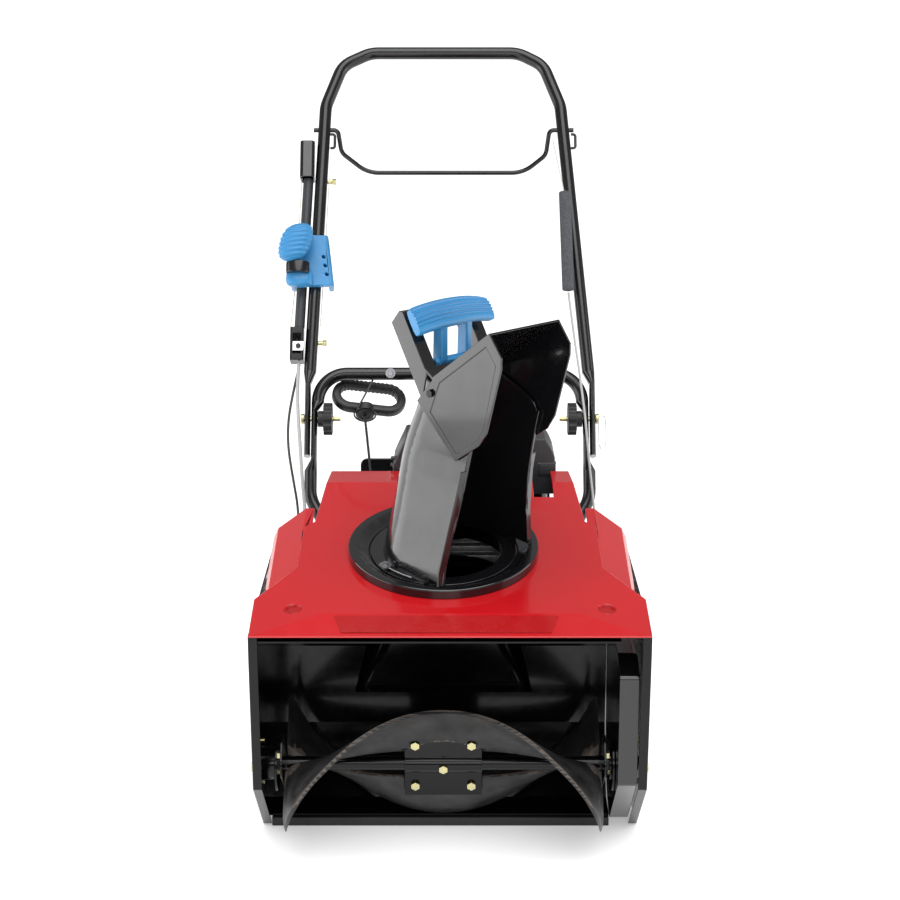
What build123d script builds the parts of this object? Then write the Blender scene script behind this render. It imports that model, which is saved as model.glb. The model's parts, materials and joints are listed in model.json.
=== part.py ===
from build123d import *
import math
import os

# Single stage snowblower. Millimetres, +Z up, the intake faces -Y, the operator stands at +Y.
# The origin lies on the ground under the middle of the machine.

# ---- driving dimensions ----
HOUSING_HALF_WIDTH = 273.6      # outer faces of the steel side plates
SHEET = 2.5                     # pressed steel sheet
SHELL = 3.0                     # moulded covers

ROTOR_X = -9.5                  # rotor, duct and chute sit left of centre, clear of the belt case
ROTOR_Y = -450.0
ROTOR_Z = 120.0
ROTOR_R = 116.0
ROTOR_HALF = 224.0
SHAFT_R = 10.0
FIT = 0.05                      # radial clearance of a running fit
CLEAR = 0.5                     # plain clearance between neighbours

CASE_X = 233.0                  # inner wall of the belt case
BELT_X = 252.0                  # middle of the drive belt
ROTOR_PULLEY_R = 38.0
ENGINE_PULLEY_R = 16.0
CRANK_Y = -60.0
CRANK_Z = 250.0

RING_Y = -340.0                 # middle of the chute collar's top face
RING_Z = 414.0
RING_TILT = 11.0                # the collar and the cover lean towards the intake
RIM_HEIGHT = 14.2               # the collar's rim stands this high on the cover
CHUTE_TURN = 45.0               # the chute is stored turned towards +X
THROAT_R = 84.5

WHEEL_R = 100.0
WHEEL_X = 220.0
WHEEL_Y = 120.0
WHEEL_WIDTH = 40.0
AXLE_R = 6.0

TUBE_R = 11.0                   # handle tube
PIVOT_Y = 250.0                 # knob bolts that join the two handle halves
PIVOT_Z = 450.0
HANDLE_ANGLE = 62.0             # above horizontal
UPPER_X = 246.0                 # leg centres of the upper handle at the pivot
LOWER_X = 234.0                 # leg centres of the lower handle at the pivot
BAIL_S = 532.0                  # bail pivot, along the handle from the pivot

os.makedirs("parts", exist_ok=True)


# ---- helpers ----
def save(shape, name):
    export_step(shape, "parts/" + name + ".step")


def block(x0, x1, y0, y1, z0, z1):
    return Pos((x0 + x1) / 2, (y0 + y1) / 2, (z0 + z1) / 2) * Box(x1 - x0, y1 - y0, z1 - z0)


def rod(a, b, radius):
    start = Vector(*a)
    run = Vector(*b) - start
    return extrude(Plane(start, z_dir=run) * Circle(radius), run.length)


def rod_x(x0, x1, y, z, radius):
    return rod((x0, y, z), (x1, y, z), radius)


def face_yz(points, x):
    return make_face(Polyline(*[(x, y, z) for y, z in points], close=True))


def prism_x(points, x0, x1):
    return extrude(face_yz(points, x0), x1 - x0, dir=(1, 0, 0))


def prism_z(points, z0, z1):
    return extrude(make_face(Polyline(*[(x, y, z0) for x, y in points], close=True)), z1 - z0, dir=(0, 0, 1))


def strip_points(points, thickness):
    # closed outline of an open path in a plane, thickened towards its left side
    normals = []
    for (a0, b0), (a1, b1) in zip(points, points[1:]):
        length = math.hypot(a1 - a0, b1 - b0)
        normals.append(((b0 - b1) / length, (a1 - a0) / length))
    side = []
    for i, (a, b) in enumerate(points):
        n0 = normals[max(i - 1, 0)]
        n1 = normals[min(i, len(normals) - 1)]
        share = 1 + n0[0] * n1[0] + n0[1] * n1[1]
        side.append((a + thickness * (n0[0] + n1[0]) / share, b + thickness * (n0[1] + n1[1]) / share))
    return points + side[::-1]


def tube(points, radii, radius):
    path = FilletPolyline(*points, radius=radii)
    return sweep(Plane(path @ 0, z_dir=path % 0) * Circle(radius), path)


def mirror_x(shape):
    return mirror(shape, about=Plane.YZ)


def hex_head(position, direction, across, height):
    plane = Plane(Vector(*position), z_dir=Vector(*direction))
    return extrude(plane * RegularPolygon(across / math.sqrt(3), 6), height)


def group(*shapes):
    solids = []
    for shape in shapes:
        solids += shape.solids()
    return Compound(children=solids)


# ---- frames of reference ----
RING = Location((ROTOR_X, RING_Y, RING_Z), (RING_TILT, 0, 0))
CHUTE = Location((ROTOR_X, RING_Y, 0), (0, 0, CHUTE_TURN))
ALONG = (math.cos(math.radians(HANDLE_ANGLE)), math.sin(math.radians(HANDLE_ANGLE)))


def on_handle(x, s, n=0.0):
    # s runs up the handle from the knobs, n stands off its front
    return (x, PIVOT_Y + s * ALONG[0] - n * ALONG[1], PIVOT_Z + s * ALONG[1] + n * ALONG[0])


def handle_plane(x, s):
    return Plane(Vector(*on_handle(x, s)), x_dir=(1, 0, 0), z_dir=(0, ALONG[0], ALONG[1]))


def leg_x(s, side):
    # centre of an upper handle leg: the legs lean in towards the top
    top = -222.5 if side < 0 else 198.0
    return side * UPPER_X + (top - side * UPPER_X) * (s - 14.0) / 563.0


# ---- rotor housing ----
WALL = [(-398.0, 16.0), (-352.0, 22.0), (-318.0, 60.0), (-301.0, 120.0), (-297.0, 240.0),
        (-318.0, 300.0), (-368.0, 333.0), (-540.0, 335.0)]


def duct_body(grow, low, high):
    # from a wide rounded mouth in the back wall up to the round neck
    mouth = Pos(ROTOR_X, -350, low) * RectangleRounded(270 + 2 * grow, 160 + 2 * grow, 20 + grow)
    neck = Pos(ROTOR_X, -330, high) * RectangleRounded(176 + 2 * grow, 176 + 2 * grow, 87.5 + grow)
    return loft([mouth, neck])


def housing_air():
    return prism_x(WALL + [(-600.0, 336.0), (-600.0, 0.0), (-398.0, 0.0)], -300, 300)


def rotor_housing():
    outline = strip_points(WALL, -SHEET)
    wall = prism_x(outline, -HOUSING_HALF_WIDTH + SHEET, CASE_X - CLEAR)
    return wall - duct_body(0, 165, 366)


def discharge_duct():
    shell = duct_body(-0.05, 165, 366) - duct_body(-SHEET, 165 + SHEET, 366.1)
    return shell - housing_air() - block(-300, 300, -600, 0, 365, 500)


PLATE = [(-545.0, 347.5), (-545.0, 317.0), (-529.0, 114.5), (-400.0, 1.5), (-300.0, 1.5), (-170.0, 45.0),
         (-12.0, 70.0), (-12.0, 296.0), (-120.0, 347.5)]
FLANGE = 10.0                   # the plates' front edges turn inwards


def side_plate(side):
    inner = HOUSING_HALF_WIDTH - SHEET
    plate = prism_x(PLATE, inner, HOUSING_HALF_WIDTH)
    flange = prism_x(strip_points(PLATE[:4], SHEET), inner - FLANGE, inner + 1)
    whole = plate + flange
    for y, z in PLATE_BOLTS:
        whole -= rod_x(inner - 1, inner + 10, y, z, 4.2)
    whole -= rod_x(inner - 1, inner + 10, ROTOR_Y, ROTOR_Z, 14)
    return whole if side > 0 else mirror_x(whole)


PLATE_BOLTS = [(ROTOR_Y + 34 * math.cos(a), ROTOR_Z + 34 * math.sin(a)) for a in (0.8, 2.9, 5.0)]
PLATE_BOLTS += [(-200.0, 100.0), (-60.0, 120.0)]


def scraper():
    outline = [(-405.0, 0.0), (-376.0, 0.0), (-344.0, 18.0), (-348.0, 19.0), (-360.0, 17.0), (-402.0, 12.0)]
    return prism_x(outline, -HOUSING_HALF_WIDTH + SHEET + FLANGE + CLEAR, CASE_X - CLEAR)


CASE = [(-524.0, 119.0), (-402.0, 12.0), (-384.0, 12.0), (-30.0, 196.0), (-14.0, 220.0), (-14.0, 276.0),
        (-40.0, 296.0), (-480.0, 298.0), (-524.0, 280.0)]


def belt_case():
    outer = fillet(face_yz(CASE, CASE_X).vertices(), 9)
    inner = offset(outer, -2.0)
    inner = Pos(2.0, 0, 0) * inner
    outer_x = HOUSING_HALF_WIDTH - SHEET - FLANGE - 2 * CLEAR
    case = extrude(outer, outer_x - CASE_X, dir=(1, 0, 0)) - extrude(inner, 60, dir=(1, 0, 0))
    case -= rod_x(CASE_X - 1, CASE_X + 5, ROTOR_Y, ROTOR_Z, 16)
    case -= rod_x(CASE_X - 1, CASE_X + 5, CRANK_Y, CRANK_Z, 14)
    return case


def belt_outline(extra):
    # open belt path: two straight runs tangent to the two pulleys
    big = ROTOR_PULLEY_R + extra
    small = ENGINE_PULLEY_R + extra
    gap = math.hypot(CRANK_Y - ROTOR_Y, CRANK_Z - ROTOR_Z)
    lean = math.atan2(CRANK_Z - ROTOR_Z, CRANK_Y - ROTOR_Y)
    wrap = math.acos((ROTOR_PULLEY_R - ENGINE_PULLEY_R) / gap)

    def rim(y, z, radius, angle):
        return (0, y + radius * math.cos(angle), z + radius * math.sin(angle))

    big_top = rim(ROTOR_Y, ROTOR_Z, big, lean + wrap)
    big_far = rim(ROTOR_Y, ROTOR_Z, big, lean + math.pi)
    big_low = rim(ROTOR_Y, ROTOR_Z, big, lean - wrap)
    small_top = rim(CRANK_Y, CRANK_Z, small, lean + wrap)
    small_far = rim(CRANK_Y, CRANK_Z, small, lean)
    small_low = rim(CRANK_Y, CRANK_Z, small, lean - wrap)
    edges = [Line(big_top, small_top), ThreePointArc(small_top, small_far, small_low),
             Line(small_low, big_low), ThreePointArc(big_low, big_far, big_top)]
    return make_face(Wire(edges))


def drive_belt():
    outer = extrude(belt_outline(0.3 + 7.0), 10, dir=(1, 0, 0))
    inner = extrude(belt_outline(0.3), 10, dir=(1, 0, 0))
    return Pos(BELT_X - 5, 0, 0) * (outer - inner)


def rotor_bearing(x0, x1, flange_x):
    hub = rod_x(x0, x1, ROTOR_Y, ROTOR_Z, 24)
    flange = rod_x(flange_x, flange_x + 4, ROTOR_Y, ROTOR_Z, 40)
    whole = hub + flange
    return whole - rod_x(x0 - 9, x1 + 9, ROTOR_Y, ROTOR_Z, SHAFT_R + FIT)


def rotor_bearings():
    wall = HOUSING_HALF_WIDTH - SHEET
    left = rotor_bearing(-wall + CLEAR, -243.5, -247.5)
    right = rotor_bearing(226.0, CASE_X - 0.1, CASE_X - 4.3)
    return group(left, right)


def housing_bolts():
    bolts = []
    for side in (-1, 1):
        face = side * HOUSING_HALF_WIDTH
        for y, z in PLATE_BOLTS:
            head = hex_head((face + side * 0.05, y, z), (side, 0, 0), 13, 6)
            bolts.append(head + rod((face + side, y, z), (face - side * 8, y, z), 4))
    return group(*bolts)


# ---- rotor ----
def paddle_angle(x):
    # lead of the paddle's outer edge in degrees above the front, over its length
    reach = abs(x)
    return 61.0 - 1.61e-3 * reach ** 2 - 26.0 * max(0.0, (reach - 196.0) / 28.0) ** 2


def paddle_section(x):
    lag = 19.0
    inner = 24.0
    outer = ROTOR_R + 8
    middle = (inner + outer) / 2
    slope = math.radians(paddle_angle(abs(x) - 2) - paddle_angle(abs(x) + 2)) / 4
    half = 3.2 * math.sqrt(1 + (75.0 * slope) ** 2)
    rows = []
    for radius in (inner, middle, outer):
        angle = math.radians(paddle_angle(x) + lag * (1 - (radius - inner) / (ROTOR_R - inner)))
        rows.append((radius, angle))

    def at(radius, angle, shift):
        y = -radius * math.cos(angle) + shift * math.sin(angle)
        z = radius * math.sin(angle) + shift * math.cos(angle)
        return (x, y, z)

    near = [at(r, a, half) for r, a in rows]
    far = [at(r, a, -half) for r, a in rows]
    edges = [ThreePointArc(*near), Line(near[2], far[2]), ThreePointArc(*far[::-1]), Line(far[0], near[0])]
    return make_face(Wire(edges))


def paddle_blank():
    stations = [-224, -216, -206, -190, -160, -120, -70, -30, 0, 30, 70, 120, 160, 190, 206, 216, 224]
    return loft([paddle_section(x) for x in stations])


def rotor_envelope():
    corner = 26.0
    profile = Polyline((-ROTOR_HALF, 0), (-ROTOR_HALF, ROTOR_R), (ROTOR_HALF, ROTOR_R), (ROTOR_HALF, 0),
                       close=True)
    face = make_face(profile)
    tips = [v for v in face.vertices() if v.Y > 1]
    return revolve(fillet(tips, corner), Axis.X, 360)


def rotor_place(shape):
    return Pos(ROTOR_X, ROTOR_Y, ROTOR_Z) * shape


PLATE_TILT = 80.0               # the clamp plates stand nearly upright


def clamp_cut():
    return Rot(90 - PLATE_TILT, 0, 0) * Box(112, 11.0, 2 * 52)


def rotor_paddles():
    front = paddle_blank() & rotor_envelope()
    front = front - Rot(0, 90, 0) * Cylinder(19.5, 500)
    front = front - clamp_cut()
    for x, z in CLAMP_HOLES:
        front -= Rot(90 - PLATE_TILT, 0, 0) * (Pos(x, 0, z) * (Rot(90, 0, 0) * Cylinder(7.6, 26)))
    rear = Rot(180, 0, 0) * front
    return group(rotor_place(front), rotor_place(rear))


def clamp_plate(side):
    plate = Pos(0, side * 3.6, 0) * Box(110, 3.0, 103)
    hump = Rot(0, 90, 0) * Cylinder(13.5, 110)
    plate = plate + (hump & Pos(0, side * 25, 0) * Box(120, 50 - 4.4, 60))
    plate -= Rot(0, 90, 0) * Cylinder(SHAFT_R + 0.2, 130)
    for x, z in CLAMP_HOLES:
        plate -= Pos(x, 0, z) * (Rot(90, 0, 0) * Cylinder(4.1, 60))
    plate -= Rot(90, 0, 0) * Cylinder(4.1, 60)
    return plate


CLAMP_HOLES = [(-40, -34), (40, -34), (-40, 34), (40, 34)]


def rotor_ends():
    # flat arms welded to the shaft near each end, which the paddle lobes are bolted to
    arms = []
    for side in (-1, 1):
        arm = Pos(side * (ROTOR_HALF + 3.0), 0, 0) * Box(3.0, 62, 116)
        arm = fillet(arm.edges().filter_by(Axis.X), 20)
        arm -= Rot(0, 90, 0) * Cylinder(SHAFT_R + 0.05, 600)
        arms.append(Rot(-128, 0, 0) * arm)
    return arms


def rotor_brackets():
    plates = [Rot(90 - PLATE_TILT, 0, 0) * clamp_plate(side) for side in (-1, 1)]
    return group(*[rotor_place(p) for p in plates + rotor_ends()])


def rotor_bolts():
    bolts = []
    places = [(x, z, 5.2) for x, z in CLAMP_HOLES] + [(0, 0, 13.6)]
    for x, z, stand in places:
        for side in (-1, 1):
            head = hex_head((x, side * stand, z), (0, side, 0), 12, 5)
            bolts.append(head)
        if stand < 10:
            bolts.append(rod((x, -stand, z), (x, stand, z), 3.8))
    tilt = Rot(90 - PLATE_TILT, 0, 0)
    placed = [rotor_place(tilt * b) for b in bolts]
    for side in (-1, 1):
        for reach in (-46, 46):
            head = hex_head((side * (ROTOR_HALF + 4.6), 0, reach), (side, 0, 0), 11, 5)
            placed.append(rotor_place(Rot(-128, 0, 0) * head))
    return group(*placed)


def rotor_shaft():
    end = HOUSING_HALF_WIDTH + 2
    return rod_x(-end, end - 6, ROTOR_Y, ROTOR_Z, SHAFT_R)


def pulley(radius, bore, width, y, z):
    rim = 9.0
    profile = [(bore, -width / 2 - 3), (bore + 9, -width / 2 - 3), (bore + 9, -2.5), (radius - rim, -2.5),
               (radius - rim, -width / 2), (radius + 4, -width / 2), (radius + 4, -width / 2 + 1),
               (radius, -width / 2 + 2.5), (radius, width / 2 - 2.5), (radius + 4, width / 2 - 1),
               (radius + 4, width / 2), (radius - rim, width / 2), (radius - rim, 2.5), (bore + 9, 2.5),
               (bore + 9, width / 2 + 3), (bore, width / 2 + 3)]
    if radius < 40:
        profile = [p for p in profile if p[0] in (bore,) or p[0] >= radius]
    face = make_face(Polyline(*[(x, r) for r, x in profile], close=True))
    wheel = revolve(face, Axis.X, 360)
    return Pos(BELT_X, y, z) * wheel


def rotor_pulley():
    return pulley(ROTOR_PULLEY_R - 4.5, SHAFT_R + 0.05, 16, ROTOR_Y, ROTOR_Z)


def engine_pulley():
    wheel = pulley(ENGINE_PULLEY_R - 4.5, 0.0, 16, CRANK_Y, CRANK_Z)
    return wheel + rod_x(150, BELT_X + 6, CRANK_Y, CRANK_Z, 9.5)


IDLER_Y = -250.0
IDLER_Z = 247.5
ARM_Y = -170.0
ARM_Z = 259.5


def idler_arm():
    arm = prism_x([(IDLER_Y - 10, IDLER_Z - 8), (ARM_Y + 9, ARM_Z - 9), (ARM_Y + 9, ARM_Z + 9),
                   (IDLER_Y - 10, IDLER_Z + 10)], CASE_X + 4, CASE_X + 7)
    pin = rod_x(CASE_X + 6, BELT_X + 7, IDLER_Y, IDLER_Z, 4)
    arm -= rod_x(CASE_X, CASE_X + 12, ARM_Y, ARM_Z, 4 + FIT)
    return arm + pin


def idler_pulley():
    wheel = rod_x(BELT_X - 6, BELT_X + 6, IDLER_Y, IDLER_Z, 18)
    groove = rod_x(BELT_X - 4.5, BELT_X + 4.5, IDLER_Y, IDLER_Z, 30) - rod_x(
        BELT_X - 6, BELT_X + 6, IDLER_Y, IDLER_Z, 16)
    return wheel - groove - rod_x(BELT_X - 20, BELT_X + 20, IDLER_Y, IDLER_Z, 4 + FIT)


# ---- red covers ----
def cover_z(y):
    # the sloping top of the cover, parallel to the collar
    lean = math.radians(RING_TILT)
    return RING_Z - RIM_HEIGHT / math.cos(lean) + (y - RING_Y) * math.tan(lean)


LIP_Y = -552.0
LIP_Z = 349.0
CREASE_Y = -508.0
CREASE_Z = cover_z(CREASE_Y)
FACET_Y = -383.0                # rear corner of each front facet
SHOULDER_Y = -120.0             # the top turns level here
SHOULDER_Z = cover_z(SHOULDER_Y)
BACK_Y = -55.0


def shroud_solid(inset):
    side = [(LIP_Y + inset, LIP_Z - 20), (LIP_Y + inset, LIP_Z), (CREASE_Y + inset, CREASE_Z - inset),
            (SHOULDER_Y, SHOULDER_Z - inset), (BACK_Y - inset, SHOULDER_Z - inset), (BACK_Y - inset, LIP_Z - 20)]
    body = prism_x(side, -300, 300)
    half = [(272.6, LIP_Y), (272.6, -458.0), (218.0, FACET_Y), (216.0, -262.0), (201.0, -246.0),
            (191.0, SHOULDER_Y), (186.0, BACK_Y + 20)]
    plan = [(x - inset, y) for x, y in half] + [(inset - x, y) for x, y in half[::-1]]
    plan = [(plan[0][0], LIP_Y - 30)] + plan + [(plan[-1][0], LIP_Y - 30)]
    body &= prism_z(plan, 300, 500)
    for sign in (-1, 1):
        corner, normal = facet_plane(sign)
        facet = Plane(corner - normal * inset, z_dir=normal)
        body -= extrude(facet * Rectangle(900, 900), 200)
    return body


def facet_plane(sign):
    a = Vector(sign * 272.6, LIP_Y, LIP_Z)
    b = Vector(sign * 176.0, CREASE_Y, CREASE_Z)
    c = Vector(sign * 218.0, FACET_Y, cover_z(FACET_Y))
    normal = (b - a).cross(c - a).normalized()
    return a, normal if normal.Z > 0 else normal * -1


PLUG = (216.0, -491.0, 367.0)


def plug_plane(side):
    corner, normal = facet_plane(side)
    spot = Vector(side * PLUG[0], PLUG[1], PLUG[2])
    return Plane(spot - normal * (spot - corner).dot(normal), z_dir=normal)


def shroud():
    shell = shroud_solid(0) - shroud_solid(SHELL) - block(-300, 300, -600, 0, 300, LIP_Z - 0.2)
    shell -= block(-269, 269, LIP_Y - 30, LIP_Y + 4, 300, LIP_Z - 0.2)
    shell -= RING * Cylinder(118, 200)
    shell -= block(128, 158, -168, BACK_Y + 10, 400, 500)
    shell -= block(-181, 181, BACK_Y - 12, BACK_Y + 10, 300, SHOULDER_Z - SHELL)
    for side in (-1, 1):
        shell -= extrude(plug_plane(side) * Circle(12), 12, both=True)
    return max(shell.solids(), key=lambda s: s.volume)


def screw_plugs():
    plugs = []
    for side in (-1, 1):
        plane = plug_plane(side)
        cup = extrude(plane.offset(-4.5) * Circle(11.8), 4.0)
        cup -= extrude(plane.offset(-2.5) * Circle(9.5), 6.0)
        plugs.append(cup)
    return group(*plugs)


FENDER_Y = -262.0


def side_fender(side):
    profile = [(205, 403), (217, 403), (258, 373), (264, 364), (264, 270), (267, 270), (267, 366), (260.5, 375.5),
               (218, 406), (205, 406)]
    face = make_face(Polyline(*[(x, -10, z) for x, z in profile], close=True))
    panel = extrude(face, 460, dir=(0, -1, 0))
    panel = Pos(0, FENDER_Y, 370) * (Rot(RING_TILT, 0, 0) * (Pos(0, -FENDER_Y, -370) * panel))
    panel &= prism_z([(180, -188), (262, -188), (268, -200), (268, -450.5), (219.5, -384), (200, -384)], 338.5, 460)
    panel = panel + block(264.0, 267.0, -201.0, -60.0, 300.0, 345.0)
    panel -= prism_z([(219.0, -384.0), (217.5, -262.0), (202.0, -246.0), (191.5, SHOULDER_Y), (187.0, 0.0),
                      (100.0, 0.0), (100.0, -402.0)], 300, 500)
    return panel if side > 0 else mirror_x(panel)


def chute_collar():
    profile = [(137, -14), (137, -1.5), (135.5, 0), (126.5, 0), (125, -1), (113, -9), (108, -9.5), (107, -12),
               (93.5, -12), (93.5, -40), (96, -40), (96, -14.5), (110, -14.5), (116, -11.5), (126, -3.5),
               (134, -3.5), (134, -14)]
    face = make_face(Polyline(*[(r, 0, z) for r, z in profile], close=True))
    return RING * revolve(face, Axis.Z, 360)


# ---- chute and deflector, drawn in the chute's own turned frame ----
# height, half width, front edge, middle of the round back
CHUTE_SECTIONS = [(372.0, 88.5, -88.0, 0.0), (410.0, 86.0, -88.0, 0.0), (470.0, 74.5, -95.0, -3.0),
                  (530.0, 67.0, -106.0, -8.0), (600.0, 64.0, -122.0, -28.0), (680.0, 64.0, -146.0, -54.0)]
HINGE_YC = -46.0
HINGE_ZC = 664.0


def chute_section(height, half, front, middle, trim, ahead):
    w = half - trim
    f = front - ahead
    edges = [Line((-w, f, height), (-w, middle, height)),
             ThreePointArc((-w, middle, height), (0, middle + w, height), (w, middle, height)),
             Line((w, middle, height), (w, f, height)),
             Line((w, f, height), (-w, f, height))]
    return make_face(Wire(edges))


def chute_loft(trim, ahead):
    return loft([chute_section(*row, trim, ahead) for row in CHUTE_SECTIONS])


def chute_flange():
    # the free edges of the channel turn outwards
    ribs = []
    for side in (-1, 1):
        faces = []
        for height, half, front, middle in CHUTE_SECTIONS[:5]:
            out = 9.0
            corners = [(side * (half - 2.5), front, height), (side * (half + out), front + 2.0, height),
                       (side * (half + out), front + 5.0, height), (side * (half - 2.5), front + 3.0, height)]
            faces.append(make_face(Polyline(*corners, close=True)))
        ribs.append(loft(faces, ruled=True))
    return ribs


def chute():
    channel = chute_loft(0, 0) - chute_loft(SHELL, 60)
    for rib in chute_flange():
        channel = channel + rib
    channel -= prism_x([(80, 668), (-46, 668), (-96, 646), (-118, 632), (-150, 570), (-400, 570), (-400, 900),
                        (80, 900)], -200, 200) - block(-200, 200, -400, -112, 0, 622)
    channel -= rod((-90, HINGE_YC, 655), (90, HINGE_YC, 655), 3.2)
    for side in (-1, 1):
        channel -= block(*sorted((side * 66.2, side * 90)), -200, 60, 556, 720)
    placed = CHUTE * channel
    # the foot stands inside the collar and clears its sloping rim
    placed -= RING * Pos(0, 0, -111.5) * Cylinder(106, 200)
    placed -= RING * (Pos(0, 0, -99) * (Cylinder(260, 200) - Cylinder(105.6, 210)))
    base = Pos(0, 0, -10) * Cylinder(105.5, 2.6)
    skirt = Pos(0, 0, -18) * Cylinder(88.5, 16)
    base = base + skirt - Cylinder(THROAT_R, 80)
    return placed + RING * base


def chute_clip():
    stud = Pos(-82, -58, -8.6) * Cylinder(4, 9, align=(Align.CENTER, Align.CENTER, Align.MIN))
    wire = tube([(-76, -66, -4.5), (-70, -73, -4.2), (-57, -84, -4.5), (-44, -93, -4.5)], [6, 8], 1.3)
    ring = Pos(-82, -58, -4.5) * (Cylinder(9, 2.4) - Cylinder(4.05, 5))
    return RING * group(stud, ring, wire)


DEFLECTOR_HALF = 66.5
ROOF = [(-48.0, 674.0), (-157.0, 752.0)]
PANEL = [(-48.0, 674.0), (-157.0, 752.0), (-178.0, 724.0), (-178.0, 708.0), (-152.0, 618.0), (-138.0, 597.0),
         (-92.0, 567.0), (-18.0, 640.0)]
LEG_RUN = (0.51, 0.86)          # the deflector's handle rises back from the roof
LEG_FOOT = (-31.0, 664.0)


def on_leg(p, n):
    # p runs up the deflector's handle, n stands off its front
    return (LEG_FOOT[0] + p * LEG_RUN[0] - n * LEG_RUN[1], LEG_FOOT[1] + p * LEG_RUN[1] + n * LEG_RUN[0])


def deflector():
    outer = DEFLECTOR_HALF + SHELL
    body = None
    for side in (-1, 1):
        x0, x1 = sorted((side * DEFLECTOR_HALF, side * outer))
        panel = prism_x(PANEL, x0, x1)
        leg = prism_x([on_leg(-18, -14), on_leg(12, 14.5), on_leg(104, 14.5), on_leg(108, 8), on_leg(100, -14)],
                      x0, x1)
        body = panel if body is None else body + panel
        body = body + leg
        inner = sorted((side * (outer - 22), side * outer))
        post = prism_x([on_leg(20, -14), on_leg(20, 14.5), on_leg(104, 14.5), on_leg(108, 8), on_leg(100, -14)],
                       *inner)
        body = body + post
    roof = prism_x(strip_points([ROOF[1], ROOF[0]], SHELL), -outer, outer)
    rear = prism_x([(-48.0, 674.0), (-50.0, 677.0), on_leg(20, 14.5), on_leg(20, 11.5)], -outer, outer)
    head = [on_leg(92, -14), on_leg(92, 14.5), on_leg(104, 14.5), on_leg(108, 8), on_leg(100, -14)]
    body = body + roof + rear + prism_x(head, -outer, outer)
    body -= rod((-90, HINGE_YC, 655), (90, HINGE_YC, 655), 3.2)
    body -= rod((-50, *on_leg(27, 2)), (50, *on_leg(27, 2)), 3.6)
    for side in (-1, 1):
        inset = [(-62.0, 672.0), (-150.0, 735.0), (-168.0, 712.0), (-146.0, 622.0), (-134.0, 604.0),
                 (-94.0, 578.0), (-44.0, 628.0)]
        x0, x1 = sorted((side * (outer - 0.8), side * (outer + 1)))
        body -= prism_x(inset, x0, x1)
    return CHUTE * body


def deflector_pins():
    pins = []
    for side in (-1, 1):
        x0 = side * (64.0 - SHELL - 6.0)
        x1 = side * (DEFLECTOR_HALF + SHELL + 0.05)
        pins.append(CHUTE * rod((x0, HINGE_YC, 655), (x1, HINGE_YC, 655), 3.1))
        pins.append(CHUTE * hex_head((x1, HINGE_YC, 655), (side, 0, 0), 10, 4))
        pins.append(CHUTE * hex_head((x0 + side * 4.0, HINGE_YC, 655), (-side, 0, 0), 10, 5))
    pins.append(CHUTE * rod((-50 + 0.2, *on_leg(27, 2)), (50 - 0.2, *on_leg(27, 2)), 3.55))
    return group(*pins)


def trigger():
    half = 78.0
    outline = [on_leg(66, 25), on_leg(104, 27), on_leg(106, 36), on_leg(96, 42), on_leg(70, 38)]
    bar = prism_x(outline, -half, half)
    bar = fillet(bar.edges().filter_by(Axis.X), 3.0)
    arms = []
    for x in (-24, 24):
        arms.append(prism_x([on_leg(20, -5), on_leg(34, -6), on_leg(76, 22), on_leg(74, 38), on_leg(24, 12)],
                            x - 6, x + 6))
    cross = prism_x([on_leg(19, -6), on_leg(34, -6), on_leg(34, 9), on_leg(22, 10)], -38, 38)
    whole = bar + arms[0] + arms[1] + cross
    whole -= rod((-60, *on_leg(27, 2)), (60, *on_leg(27, 2)), 3.6)
    return CHUTE * whole


# ---- frame, engine and running gear ----
WALL_X = 190.0


def engine_deck():
    deck = block(-WALL_X, WALL_X, -293, 175, 88, 91)
    for side in (-1, 1):
        x0, x1 = sorted((side * (WALL_X - 3), side * WALL_X))
        deck = deck + prism_x([(-293, 88), (175, 88), (175, 200), (150, 262), (60, 262), (20, 220), (-293, 220)],
                              x0, x1)
    deck -= rod_x(-250, 250, WHEEL_Y, WHEEL_R, AXLE_R + FIT)
    deck -= rod_x(150, 250, CRANK_Y, CRANK_Z, 14)
    for y, z in FOOT_BOLTS:
        deck -= rod_x(-250, 250, y, z, 4.1)
    return deck


def foot_bolt(s):
    return (PIVOT_Y + s * ALONG[0], PIVOT_Z + s * ALONG[1])


FOOT_BOLTS = [foot_bolt(-222), foot_bolt(-248)]


def axle():
    return rod_x(-WHEEL_X - 26, WHEEL_X + 26, WHEEL_Y, WHEEL_R, AXLE_R)


def wheel(side):
    half = WHEEL_WIDTH / 2
    tyre_profile = [(72, -half), (92, -half), (98, -half + 4), (100, -half + 10), (100, half - 10),
                    (98, half - 4), (92, half), (72, half)]
    tyre = revolve(make_face(Polyline(*[(x, r) for r, x in tyre_profile], close=True)), Axis.X, 360)
    for i in range(24):
        groove = Rot(i * 15, 0, 0) * (Pos(0, 0, WHEEL_R) * (Rot(0, 0, 20) * Box(WHEEL_WIDTH + 10, 5, 7)))
        tyre -= groove
    hub_profile = [(AXLE_R + FIT, -half + 2), (17, -half + 2), (17, -6), (62, -6), (62, -half + 3),
                   (71.9, -half + 1), (71.9, half - 1), (62, half - 3), (62, 6), (17, 6), (17, half - 2),
                   (AXLE_R + FIT, half - 2)]
    rim = revolve(make_face(Polyline(*[(x, r) for r, x in hub_profile], close=True)), Axis.X, 360)
    for i in range(6):
        rim -= Rot(i * 60, 0, 0) * (Pos(0, 0, 40) * (Rot(0, 90, 0) * Cylinder(11, 60)))
    return Pos(side * WHEEL_X, WHEEL_Y, WHEEL_R) * group(tyre, rim)


def wheel_caps():
    caps = []
    for side in (-1, 1):
        x0 = side * (WHEEL_X + 26.1)
        caps.append(rod_x(*sorted((x0, x0 + side * 3)), WHEEL_Y, WHEEL_R, 10))
    return caps


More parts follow.
